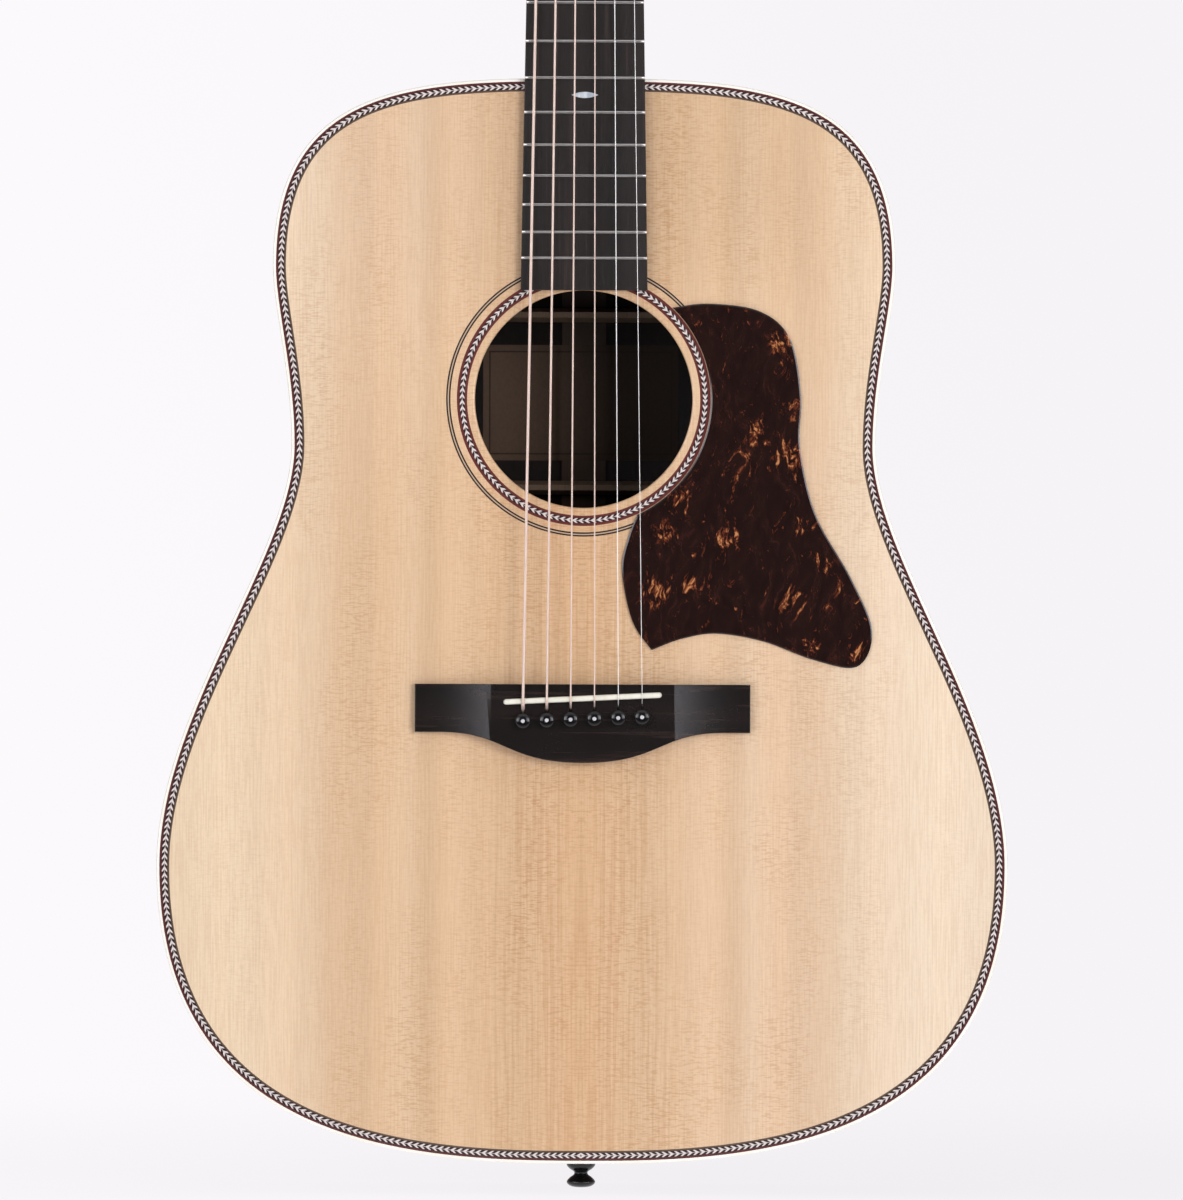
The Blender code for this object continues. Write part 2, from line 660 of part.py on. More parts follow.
def brace(name, start, end, width, height, material, base=None, rise=1):
    """A bar with a gabled top between two (x, z) points, scooped down to thin ends."""
    base = base or front_face(TOP_THICKNESS + SEAT_GAP)
    start, end = Vector(start), Vector(end)
    length = (end - start).length
    along = (end - start) / length
    across = Vector((-along.y, along.x))
    scoop = min(BRACE_SCOOP, BRACE_SCOOP_SHARE * length)
    scooped = np.linspace(0, scoop, BRACE_SCOOP_STEPS + 1)
    rings = []
    for place in (*scooped, length / 2, *(length - scooped[::-1])):
        to_end = min(place, length - place, scoop) / scoop
        tall = BRACE_END_HEIGHT + (height - BRACE_END_HEIGHT) * math.sin(to_end * math.pi / 2) ** 2
        ring = []
        for offset, up in BRACE_PROFILE:
            x, z = start + along * place + across * offset * width
            ring.append((x, base(x, z) + rise * up * tall, z))
        rings.append(ring)
    return loft(name, rings, material)


def build_top_bracing(spruce, maple):
    """The crossed braces, two tone bars, the brace above the sound hole and the plate under the bridge."""
    crossing = Vector((0, X_BRACE_LEVEL))
    legs = []
    for name, hand in (("x_brace", 1), ("x_brace_second_leg", -1)):
        down = Vector((hand * math.cos(X_BRACE_ANGLE), -math.sin(X_BRACE_ANGLE)))
        ends = [reach_to_rim(crossing, direction, X_BRACE_WIDTH / 2) for direction in (-down, down)]
        legs.append(brace(name, *ends, X_BRACE_WIDTH, X_BRACE_HEIGHT, spruce))
    combine(legs[0], legs[1], "UNION")

    level = HOLE_LEVEL + SOUND_HOLE_RADIUS + TRANSVERSE_BRACE_RISE
    ends = [reach_to_rim((0, level), (hand, 0), TRANSVERSE_BRACE_WIDTH / 2) for hand in (-1, 1)]
    brace("transverse_brace", *ends, TRANSVERSE_BRACE_WIDTH, TRANSVERSE_BRACE_HEIGHT, spruce)

    plate_top = BRIDGE_TOP + BRIDGE_PLATE_MARGIN
    plate_bottom = BRIDGE_WING_BOTTOM - BRIDGE_BELLY - BRIDGE_PLATE_MARGIN
    leg_clear = (X_BRACE_WIDTH / 2 + SEAT_GAP) / math.sin(X_BRACE_ANGLE)
    drops = (X_BRACE_LEVEL - plate_top, X_BRACE_LEVEL - plate_bottom)
    reaches = [drop / math.tan(X_BRACE_ANGLE) - leg_clear for drop in drops]
    outline = (
        (-reaches[0], plate_top),
        (reaches[0], plate_top),
        (reaches[1], plate_bottom),
        (-reaches[1], plate_bottom),
    )
    front = front_face(TOP_THICKNESS + SEAT_GAP)
    back = front_face(TOP_THICKNESS + SEAT_GAP + BRIDGE_PLATE_THICKNESS)
    plate = slab("bridge_plate", outline, front, back, maple)

    towards_bass = Vector((-math.cos(TONE_BAR_SLOPE), -math.sin(TONE_BAR_SLOPE)))
    for row, name in enumerate(("tone_bar_upper", "tone_bar_lower")):
        half = TONE_BAR_WIDTH / 2
        bar_gap = half / math.cos(TONE_BAR_SLOPE) + SEAT_GAP
        corner = Vector((reaches[1], plate_bottom - bar_gap - row * TONE_BAR_SPACING))
        leg_x = (X_BRACE_LEVEL - corner.y) / math.tan(X_BRACE_ANGLE)
        run_in = (leg_x - corner.x) / (1 + math.tan(TONE_BAR_SLOPE) / math.tan(X_BRACE_ANGLE))
        run_in -= (X_BRACE_WIDTH / 2 + half + SEAT_GAP) / math.sin(X_BRACE_ANGLE)
        start = corner - towards_bass * run_in / math.cos(TONE_BAR_SLOPE)
        end = reach_to_rim(start, towards_bass, half, at_bass_leg)
        brace(name, start, end, TONE_BAR_WIDTH, TONE_BAR_HEIGHT, spruce)
    return plate


def build_back_bracing(spruce, cedar):
    """The strip along the back's centre joint and four braces notched over it."""
    seat = back_face(BACK_THICKNESS + SEAT_GAP)
    strip_face = back_face(BACK_THICKNESS + SEAT_GAP + BACK_STRIP_THICKNESS)
    bottom = SIDE_THICKNESS + TAIL_BLOCK_LENGTH + SEAT_GAP
    top = BODY_LENGTH - SIDE_THICKNESS - NECK_BLOCK_LENGTH - SEAT_GAP
    half = BACK_STRIP_WIDTH / 2
    rings = []
    for level in (bottom, top):
        corners = ((-half, seat), (half, seat), (half, strip_face), (-half, strip_face))
        rings.append([(x, surface(x, level), level) for x, surface in corners])
    loft("back_strip", rings, cedar)

    sizes = zip(BACK_BRACE_LEVELS, BACK_BRACE_WIDTHS, BACK_BRACE_HEIGHTS)
    notch_half = half + SEAT_GAP
    for number, (level, width, height) in enumerate(sizes, 1):
        ends = [reach_to_rim((0, level), (hand, 0), width / 2) for hand in (-1, 1)]
        bar = brace(f"back_brace_{number}", *ends, width, height, spruce, base=seat, rise=-1)
        outline = [(x * notch_half, level + z * width) for x, z in ((-1, -1), (1, -1), (1, 1), (-1, 1))]
        notch_top = BACK_THICKNESS + 2 * SEAT_GAP + BACK_STRIP_THICKNESS
        notch = slab(f"back_brace_{number}_notch", outline, back_face(notch_top), back_face(0), cedar)
        combine(bar, notch, "DIFFERENCE")


def neck_half_width(level):
    """Half the fretboard's width at a height above the tail."""
    share = (NUT_LEVEL - level) / (NUT_LEVEL - BODY_LENGTH)
    return (NUT_WIDTH + (JOINT_WIDTH - NUT_WIDTH) * share) / 2


def head_half_width(place):
    """Half the headstock's width at a distance up its face from the nut."""
    start, shoulder, tip = NUT_WIDTH / 2, HEAD_SHOULDER_WIDTH / 2, HEAD_TIP_WIDTH / 2
    if place < HEAD_SHOULDER:
        share = place / HEAD_SHOULDER
        return start + (shoulder - start) * share**2 * (3 - 2 * share)
    straight = shoulder + (tip - shoulder) * (place - HEAD_SHOULDER) / (HEAD_LENGTH - HEAD_SHOULDER)
    into_corner = max(place - (HEAD_LENGTH - HEAD_CORNER), 0)
    return straight - HEAD_CORNER + math.sqrt(HEAD_CORNER**2 - into_corner**2)


def head_point(x, place, height):
    """A point a distance up the headstock's face and a height in front of it."""
    y = FRONT + place * math.sin(HEAD_TILT) - height * math.cos(HEAD_TILT)
    z = HEAD_START + place * math.cos(HEAD_TILT) + height * math.sin(HEAD_TILT)
    return x, y, z


HEAD_PLACES = [0, HEAD_SHOULDER * 0.3, HEAD_SHOULDER * 0.6, HEAD_SHOULDER]
HEAD_PLACES += [HEAD_LENGTH - HEAD_CORNER * (1 - share) for share in (0, 0.5, 0.86, 0.99)]


def heel_cap_half(share):
    """Half the heel cap's width at a share of its length from the body."""
    return HEEL_CAP_WIDTH / 2 * math.sqrt(1 - share**2)


def neck_section(half_top, depth, roundness, heel=0.0, half_end=0.0):
    """(x, depth) points round the back of the neck; a heel's section runs in to a flat end."""
    last = NECK_SECTION_STEPS
    right = []
    for step in range(last):
        angle = math.pi / 2 * step / last
        x, d = half_top * math.cos(angle) ** (2 / roundness), depth * math.sin(angle) ** (2 / roundness)
        share = step / (last - 1)
        heel_x = half_top + (half_end - half_top) * share**HEEL_TAPER
        heel_d = depth * share**HEEL_SWELL
        right.append((x + heel * (heel_x - x), d + heel * (heel_d - d)))
    return [*right, (0, depth), *((-x, d) for x, d in reversed(right))]


def build_neck(mahogany):
    """Neck, heel, dovetail and headstock in one piece of wood."""
    rings = []
    heel_depth = DEPTH_AT_NECK - HEEL_CAP_THICKNESS - SEAT_GAP
    foot = BODY_LENGTH + SEAT_GAP

    def add(level, depth, heel, half_end):
        section = neck_section(neck_half_width(level), depth, NECK_ROUNDNESS, heel, half_end)
        rings.append([(x, FRONT + d, level) for x, d in section])

    def add_head(place, depth, roundness):
        section = neck_section(head_half_width(place), depth, roundness)
        rings.append([head_point(x, place, -d) for x, d in section])

    for share in HEEL_CAP_SHARES[:-1]:
        add(foot + share * HEEL_CAP_LENGTH, heel_depth, 1, heel_cap_half(share))
    for angle in np.linspace(0, math.pi / 2, HEEL_SWEEP_STEPS + 1):
        level = foot + HEEL_CAP_LENGTH + HEEL_SWEEP * (1 - math.cos(angle))
        depth = NECK_DEPTH_AT_JOINT + (heel_depth - NECK_DEPTH_AT_JOINT) * (1 - math.sin(angle))
        add(level, depth, 1 - math.sin(angle) ** HEEL_FADE, heel_cap_half(HEEL_CAP_SHARES[-1]))
    add(NUT_LEVEL - HEAD_SHOULDER, NECK_DEPTH_AT_NUT, 0, 0)
    for place, (roundness, thicker) in zip(HEAD_PLACES, HEAD_BLEND):
        add_head(place, HEAD_THICKNESS + thicker, roundness)
    for place in HEAD_PLACES[len(HEAD_BLEND):]:
        add_head(place, HEAD_THICKNESS, HEAD_SQUARENESS)
    neck = loft("neck", rings, mahogany)
    combine(neck, dovetail("tenon", 0, mahogany), "UNION")
    half = TRUSS_ROD_WIDTH / 2 + SEAT_GAP
    ends = truss_rod_ends()
    outline = [(x * half, ends[i] + (2 * i - 1) * SEAT_GAP) for x, i in ((-1, 0), (1, 0), (1, 1), (-1, 1))]
    faces = front_face(-TRUSS_ROD_DEPTH), front_face(TRUSS_ROD_DEPTH + SEAT_GAP)
    channel = slab("truss_rod_channel", outline, *faces, mahogany)
    combine(neck, channel, "DIFFERENCE")
    return neck


def truss_rod_ends():
    """The heights of the truss rod's two ends."""
    return BODY_LENGTH + TRUSS_ROD_MARGIN, NUT_LEVEL - TRUSS_ROD_MARGIN


def build_neck_fittings(ebony, bone, steel):
    """Truss rod, heel cap, nut and the veneer on the headstock's face."""
    half = TRUSS_ROD_WIDTH / 2
    ends = truss_rod_ends()
    outline = ((-half, ends[0]), (half, ends[0]), (half, ends[1]), (-half, ends[1]))
    slab("truss_rod", outline, front_face(0), front_face(TRUSS_ROD_DEPTH), steel)

    foot = BODY_LENGTH + SEAT_GAP
    right = [(heel_cap_half(share), foot + share * HEEL_CAP_LENGTH) for share in HEEL_CAP_SHARES]
    outline = right + [(-x, z) for x, z in reversed(right)]
    face = FRONT + DEPTH_AT_NECK
    slab("heel_cap", outline, lambda x, z: face - HEEL_CAP_THICKNESS, lambda x, z: face, ebony)

    right = [(head_half_width(place), max(place, SEAT_GAP)) for place in HEAD_PLACES]
    outline = right + [(-x, place) for x, place in reversed(right)]
    heights = (SEAT_GAP, SEAT_GAP + HEAD_VENEER)
    rings = [[head_point(x, place, height) for x, place in outline] for height in heights]
    veneer = loft("head_veneer", rings, ebony)

    build_nut(bone)
    return veneer


def string_x(number, spread):
    """Where a string lies across a spread of six, from the treble string to the bass string."""
    return spread * (0.5 - (number - 1) / (len(STRING_DIAMETERS) - 1))


def camber(x):
    """How far the fretboard's curved face has dropped at x."""
    return x**2 / (2 * FRETBOARD_RADIUS)


def build_nut(bone):
    """The nut: a slotted block, its top curved with the fretboard."""
    half = NUT_WIDTH / 2
    bottom, top = FRONT - SEAT_GAP, FRONT - NUT_HEIGHT
    profile = [(half, bottom), (half, top + camber(half))]
    for number, diameter in enumerate(STRING_DIAMETERS, 1):
        x = string_x(number, STRING_SPREAD_AT_NUT)
        slot_half = diameter / 2 + SEAT_GAP
        floor = FRONT - STRING_AT_NUT + camber(x) + SEAT_GAP
        for side, y in ((1, top + camber(x)), (1, floor), (-1, floor), (-1, top + camber(x))):
            profile.append((x + side * slot_half, y))
    profile += [(-half, top + camber(half)), (-half, bottom)]
    levels = (NUT_LEVEL, HEAD_START)
    return loft("nut", [[(x, y, level) for x, y in profile] for level in levels], bone)


def fret_level(fret):
    """The height of a fret above the tail."""
    return NUT_LEVEL - SCALE_LENGTH * (1 - 2 ** (-fret / 12))


def build_fretboard(ebony):
    """The tapered, curved fretboard with its frets standing across it."""
    stations = [(FRETBOARD_END, 0)]
    for fret in range(FRET_COUNT, 0, -1):
        level = fret_level(fret)
        for offset, rise in ((-0.5, 0), (-0.25, 1), (0.25, 1), (0.5, 0)):
            stations.append((level + offset * FRET_WIDTH, rise * FRET_HEIGHT))
    stations.append((NUT_LEVEL - SEAT_GAP, 0))
    rings = []
    for level, rise in stations:
        half = neck_half_width(level)
        base = FRONT - SEAT_GAP
        ring = [(-half, base, level)]
        for share in (-1, -0.5, 0, 0.5, 1):
            x = share * half
            ring.append((x, base - FRETBOARD_THICKNESS + camber(x) - rise, level))
        ring.append((half, base, level))
        rings.append(ring)
    return loft("fretboard", rings, ebony)


def bridge_height(x):
    """How thick the bridge is at x: level between its creases, scooped out towards the tips."""
    share = max(abs(x) - BRIDGE_CREASE, 0) / (BRIDGE_WIDTH / 2 - BRIDGE_CREASE)
    return BRIDGE_TIP_THICKNESS + (BRIDGE_THICKNESS - BRIDGE_TIP_THICKNESS) * (1 - share) ** 2


def bridge_lower_edge(x):
    """The level of the bridge's lower edge at x, which swells into a belly in the middle."""
    reach, belly = BRIDGE_BELLY_REACH, BRIDGE_WING_BOTTOM - BRIDGE_BELLY
    full = BRIDGE_BELLY_FULLNESS
    curve = cubic((0, belly), (full, belly), (full, BRIDGE_WING_BOTTOM), (reach, BRIDGE_WING_BOTTOM), 40)
    return float(np.interp(abs(x), *curve.T, right=BRIDGE_WING_BOTTOM))


def build_bridge(ebony, bone):
    """The bridge with its saddle slot, and the saddle in it."""
    tip = BRIDGE_WIDTH / 2
    right = [0, *np.linspace(0, BRIDGE_CREASE, 5)[1:]]
    right += [BRIDGE_CREASE + (tip - BRIDGE_CREASE) * share for share in BRIDGE_WING_SHARES]
    rings = []
    for x in [-x for x in right[:0:-1]] + right:
        base, face = FRONT - SEAT_GAP, FRONT - SEAT_GAP - bridge_height(x)
        low, high, edge = bridge_lower_edge(x), BRIDGE_TOP, BRIDGE_EDGE
        corners = ((high, base), (high, face + edge), (high - edge, face))
        corners += ((low + edge, face), (low, face + edge), (low, base))
        rings.append([(x, y, z) for z, y in corners])
    bridge = loft("bridge", rings, ebony)

    face = FRONT - SEAT_GAP - BRIDGE_THICKNESS
    slot_half = SADDLE_LENGTH / 2 + SEAT_GAP
    width_half = SADDLE_THICKNESS / 2 + SEAT_GAP
    outline = []
    for x, side in ((-1, -1), (1, -1), (1, 1), (-1, 1)):
        outline.append((x * slot_half, SADDLE_LEVEL + x * slot_half * SADDLE_SLANT + side * width_half))
    slot_floor = face + SADDLE_SLOT_DEPTH
    slot = slab("saddle_slot", outline, lambda x, z: face - BRIDGE_EDGE, lambda x, z: slot_floor, ebony)
    combine(bridge, slot, "DIFFERENCE")

    half = SADDLE_THICKNESS / 2
    rings = []
    for share in np.linspace(-1, 1, 9):
        x = share * SADDLE_LENGTH / 2
        level = SADDLE_LEVEL + x * SADDLE_SLANT
        crown = FRONT - STRING_AT_SADDLE + camber(x)
        corners = ((-1, slot_floor - SEAT_GAP), (-1, crown + half / 2), (-SADDLE_CROWN, crown))
        corners += ((SADDLE_CROWN, crown), (1, crown + half / 2), (1, slot_floor - SEAT_GAP))
        rings.append([(x, y, level + side * half) for side, y in corners])
    loft("saddle", rings, bone)
    return bridge


def pin_place(number):
    """(x, z) of a bridge pin's axis."""
    x = string_x(number, STRING_SPREAD_AT_SADDLE)
    return x, SADDLE_LEVEL - PIN_ROW_DROP + x * PIN_ROW_SLANT


def keyhole(x, z):
    """The outline of a pin's hole with the string's slot on the saddle's side, as (x, z) points."""
    half, flat = STRING_SLOT_WIDTH / 2, PIN_SHANK_RADIUS + TURNING_GAP
    corner = flat / math.cos(math.pi / PIN_SIDES)
    angles = [math.pi / 2 + 2 * math.pi * (i + 0.5) / PIN_SIDES for i in range(PIN_SIDES)]
    round_part = [(corner * math.cos(a), corner * math.sin(a)) for a in angles]
    slot = ((half, flat), (half, STRING_SLOT_LENGTH), (-half, STRING_SLOT_LENGTH), (-half, flat))
    return [(x + a, z + b) for a, b in (*round_part, *slot)]


def build_pins(through, plastic):
    """Six tapered pins in slotted holes through the bridge, the soundboard and the plate under it."""
    face = FRONT - SEAT_GAP - BRIDGE_THICKNESS
    head = PIN_HEAD_RADIUS
    profile = (
        (0, -PIN_LENGTH),
        (PIN_TIP_RADIUS, -PIN_LENGTH),
        (PIN_SHANK_RADIUS, SEAT_GAP),
        (PIN_HEAD_PROFILE[0][0] * head, SEAT_GAP),
        *((radius * head, height * head) for radius, height in PIN_HEAD_PROFILE),
    )
    outwards = Matrix.Rotation(math.pi / 2, 4, "X")
    places = [pin_place(number) for number in range(1, len(STRING_DIAMETERS) + 1)]
    for number, (x, z) in enumerate(places, 1):
        pin = turned(f"bridge_pin_{number}", profile, PIN_SIDES, plastic)
        pin.matrix_world = Matrix.Translation((x, face, z)) @ outwards
    bottom = FRONT + TOP_THICKNESS + BRIDGE_PLATE_THICKNESS + 4 * SEAT_GAP
    holes = prisms("pin_holes", [keyhole(x, z) for x, z in places], face - head, bottom, plastic)
    for piece in through:
        combine(piece, holes, "DIFFERENCE")


def build_strings(wire_plain, wire_wound):
    """Six strings from their ball ends under the bridge plate, over saddle and nut, to their posts."""
    below = FRONT + TOP_THICKNESS + BRIDGE_PLATE_THICKNESS + 3 * SEAT_GAP
    lower, behind = SADDLE_APPROACH
    for number, diameter in enumerate(STRING_DIAMETERS, 1):
        radius = diameter / 2
        x, pin_level = pin_place(number)
        level = pin_level + STRING_DROP_OFFSET
        saddle_level = SADDLE_LEVEL + x * SADDLE_SLANT
        crown = FRONT - STRING_AT_SADDLE + camber(x) - SEAT_GAP - radius
        nut_x = string_x(number, STRING_SPREAD_AT_NUT)
        nut_y = FRONT - STRING_AT_NUT + camber(nut_x) - radius
        hand, post_x, place = tuner_place(number)
        tangent = post_x - hand * (POST_RADIUS + SEAT_GAP + radius)
        post_end = Vector(head_point(tangent, place, 2 * SEAT_GAP + HEAD_VENEER + STRING_AT_POST))
        over_nut = Vector((nut_x, nut_y, HEAD_START))
        route = [
            ((x, below + BALL_LENGTH, level), BALL_RADIUS),
            ((x, below, level), BALL_RADIUS),
            ((x, below - SEAT_GAP / 2, level), radius),
            ((x, FRONT - BRIDGE_THICKNESS * STRING_BENDS[0], level), radius),
            ((x, FRONT - BRIDGE_THICKNESS * STRING_BENDS[1], level + STRING_LEAN), radius),
            ((x, crown + SADDLE_THICKNESS * lower, saddle_level - SADDLE_THICKNESS * behind), radius),
            ((x, crown, saddle_level - SADDLE_THICKNESS * SADDLE_TOUCH), radius),
            ((nut_x, nut_y, NUT_LEVEL), radius),
            (over_nut, radius),
            (over_nut.lerp(post_end, NUT_BREAK) - Vector((0, radius / 4, 0)), radius),
            (post_end, radius),
        ]
        curve = bpy.data.curves.new(f"string_{number}", "CURVE")
        curve.dimensions = "3D"
        curve.bevel_depth = radius
        curve.bevel_resolution = 1
        curve.use_fill_caps = True
        curve.materials.append(wire_plain if number <= PLAIN_STRINGS else wire_wound)
        spline = curve.splines.new("POLY")
        spline.points.add(len(route) - 1)
        for point, (place_in_space, thick) in zip(spline.points, route):
            point.co = (*place_in_space, 1)
            point.radius = thick / radius
        bpy.context.collection.objects.link(bpy.data.objects.new(f"string_{number}", curve))


def tuner_place(number):
    """(hand, x, distance up the head) of a string's post; strings 1 to 3 are on the treble side."""
    per_side = len(STRING_DIAMETERS) // 2
    hand = 1 if number <= per_side else -1
    row = number - 1 if hand > 0 else len(STRING_DIAMETERS) - number
    place = TUNER_FIRST + row * TUNER_PITCH
    return hand, hand * (head_half_width(place) - TUNER_EDGE), place


def rounded_box(half_x, low_y, high_y, corner):
    """A rectangle with cut corners, as (x, y) points."""
    c = corner
    return [
        (half_x - c, low_y), (half_x, low_y + c), (half_x, high_y - c), (half_x - c, high_y),
        (c - half_x, high_y), (-half_x, high_y - c), (-half_x, low_y + c), (c - half_x, low_y),
    ]


def build_tuner(number, drilled, nickel):
    """One enclosed tuning machine: its cast housing, its key with the worm's shaft, and its string post."""
    hand, post_x, place = tuner_place(number)
    mount = bpy.data.objects.new(f"tuner_{number}", None)
    bpy.context.collection.objects.link(mount)
    outwards = Vector((hand, 0, 0))
    front = Vector((0, -math.cos(HEAD_TILT), math.sin(HEAD_TILT)))
    turn = Matrix((outwards, front.cross(outwards), front)).transposed()
    seat = Vector(head_point(post_x, place, -HEAD_THICKNESS - SEAT_GAP))
    mount.matrix_world = Matrix.Translation(seat) @ turn.to_4x4()
    worm = hand * WORM_OFFSET

    ends = sorted((-hand * TUNER_END, worm + hand * TUNER_END))
    full = rounded_box(TUNER_HALF_WIDTH, *ends, 2 * TUNER_BEVEL)
    inner_ends = (ends[0] + TUNER_BEVEL, ends[1] - TUNER_BEVEL)
    crown = rounded_box(TUNER_HALF_WIDTH - TUNER_BEVEL, *inner_ends, 2 * TUNER_BEVEL)
    levels = ((full, 0), (full, TUNER_BEVEL - TUNER_DEPTH), (crown, -TUNER_DEPTH))
    rings = [[(x, y, z) for x, y in outline] for outline, z in levels]
    housing = loft(f"tuner_housing_{number}", rings, nickel, parent=mount)
    axis = (worm, -WORM_LEVEL)
    collar_end = TUNER_EDGE - KEY_EDGE_GAP
    collar = rod(
        f"collar_{number}",
        (0, *axis),
        (collar_end, *axis),
        KEY_COLLAR_RADIUS,
        TUNER_SIDES,
        nickel,
        parent=mount,
    )
    combine(housing, collar, "UNION")
    ear_y = -hand * (TUNER_END + SCREW_EAR_RADIUS / 2)
    ear = rod(
        f"ear_{number}",
        (0, ear_y, 0),
        (0, ear_y, -SCREW_EAR_THICKNESS),
        SCREW_EAR_RADIUS,
        TUNER_SIDES,
        nickel,
        parent=mount,
    )
    combine(housing, ear, "UNION")
    shaft_bore = (KEY_SHAFT_RADIUS + TURNING_GAP) / math.cos(math.pi / SHAFT_SIDES)
    shaft_end = -TUNER_HALF_WIDTH / 2
    bore = rod(
        f"shaft_bore_{number}",
        (shaft_end - SEAT_GAP, *axis),
        (2 * TUNER_EDGE, *axis),
        shaft_bore,
        SHAFT_SIDES,
        nickel,
        parent=mount,
    )
    combine(housing, bore, "DIFFERENCE")
    post_bore = (POST_RADIUS + TURNING_GAP) / math.cos(math.pi / SHAFT_SIDES)
    socket = rod(
        f"post_bore_{number}",
        (0, 0, -POST_FOOT - SEAT_GAP),
        (0, 0, TUNER_DEPTH),
        post_bore,
        SHAFT_SIDES,
        nickel,
        parent=mount,
    )
    combine(housing, socket, "DIFFERENCE")

    build_key(number, mount, axis, shaft_end, nickel)
    build_post(number, mount, nickel)

    rear = head_point(post_x, place, -2 * HEAD_THICKNESS)
    ahead = head_point(post_x, place, HEAD_THICKNESS)
    hole = rod(f"post_hole_{number}", rear, ahead, POST_HOLE_RADIUS, TUNER_SIDES, nickel)
    for piece in drilled:
        combine(piece, hole, "DIFFERENCE")


def build_key(number, mount, axis, shaft_end, nickel):
    """A tuner's key: the worm's shaft and a flattened button on its end."""
    half_wide, half_thick = KEY_BUTTON_WIDTH / 2, KEY_BUTTON_THICKNESS / 2
    button = TUNER_EDGE + KEY_EDGE_GAP
    stations = [(shaft_end, KEY_SHAFT_RADIUS, KEY_SHAFT_RADIUS), (button, KEY_SHAFT_RADIUS, KEY_SHAFT_RADIUS)]
    for share, wide, thick in KEY_BUTTON_PROFILE:
        stations.append((button + share * KEY_BUTTON_LENGTH, wide * half_wide, thick * half_thick))
    angles = [2 * math.pi * i / SHAFT_SIDES for i in range(SHAFT_SIDES)]
    rings = [[(x, wide * math.cos(a), thick * math.sin(a)) for a in angles] for x, wide, thick in stations]
    key = loft(f"tuner_key_{number}", rings, nickel, parent=mount)
    key.location = (0, *axis)


def build_post(number, mount, nickel):
    """A tuner's string post, waisted where the string winds on."""
    face = 2 * SEAT_GAP + HEAD_THICKNESS + HEAD_VENEER
    wound = face + STRING_AT_POST
    waist_half = STRING_AT_POST / 3
    top = face + POST_HEIGHT
    profile = (
        (0, -POST_FOOT),
        (POST_RADIUS, -POST_FOOT),
        (POST_RADIUS, wound - 2 * waist_half),
        (POST_WAIST_RADIUS, wound - waist_half),
        (POST_WAIST_RADIUS, wound + waist_half),
        (POST_RADIUS, wound + 2 * waist_half),
        (POST_RADIUS, top - POST_CROWN),
        (POST_TIP * POST_RADIUS, top),
        (0, top),
    )
    turned(f"tuner_post_{number}", profile, SHAFT_SIDES, nickel, parent=mount)


def above_bridge(knot):
    """A pickguard's knot; those below the rosette move with the bridge, so that its corner keeps its gap."""
    radius = ROSETTE_OUTER + SEAT_GAP
    x, z = knot
    room = HOLE_LEVEL - BRIDGE_TOP - PICKGUARD_BRIDGE_GAP - radius
    drop = max(-z - radius, 0)
    return x, z + drop - drop * room / (-PICKGUARD_CORNER[1] - radius)


def build_pickguard(tortoise):
    """The pickguard: a thin plate that follows the rosette on one side."""
    radius = ROSETTE_OUTER + SEAT_GAP
    start = (radius * math.cos(PICKGUARD_START), radius * math.sin(PICKGUARD_START))
    end = (radius * math.cos(PICKGUARD_END), radius * math.sin(PICKGUARD_END))
    corner = above_bridge(PICKGUARD_CORNER)
    outer = [start, start, *map(above_bridge, PICKGUARD_OUTER_KNOTS), corner, corner]
    inner = [corner, corner, *map(above_bridge, PICKGUARD_INNER_KNOTS), end, end]
    outline = smooth_through(outer, PICKGUARD_KNOT_STEPS) + smooth_through(inner, PICKGUARD_KNOT_STEPS)
    angles = np.linspace(PICKGUARD_END, PICKGUARD_START, PICKGUARD_ARC_STEPS, endpoint=False)
    outline += [(radius * math.cos(a), radius * math.sin(a)) for a in angles]
    outline = [(x, HOLE_LEVEL + z) for x, z in outline]
    back, front = front_face(-SEAT_GAP), front_face(-SEAT_GAP - PICKGUARD_THICKNESS)
    return slab("pickguard", outline, back, front, tortoise)


def build_end_pin(plastic):
    """The strap pin at the tail, its tapered shank in the tail block."""
    profile = (
        (0, -END_PIN_SHANK_LENGTH),
        (END_PIN_TIP_RADIUS, -END_PIN_SHANK_LENGTH),
        (END_PIN_SHANK_RADIUS, SEAT_GAP),
        (END_PIN_RADIUS, SEAT_GAP),
        *((radius * END_PIN_RADIUS, place * END_PIN_LENGTH) for radius, place in END_PIN_PROFILE),
    )
    pin = turned("end_pin", profile, END_PIN_SIDES, plastic)
    pin.matrix_world = Matrix.Rotation(math.pi, 4, "X")
    return pin


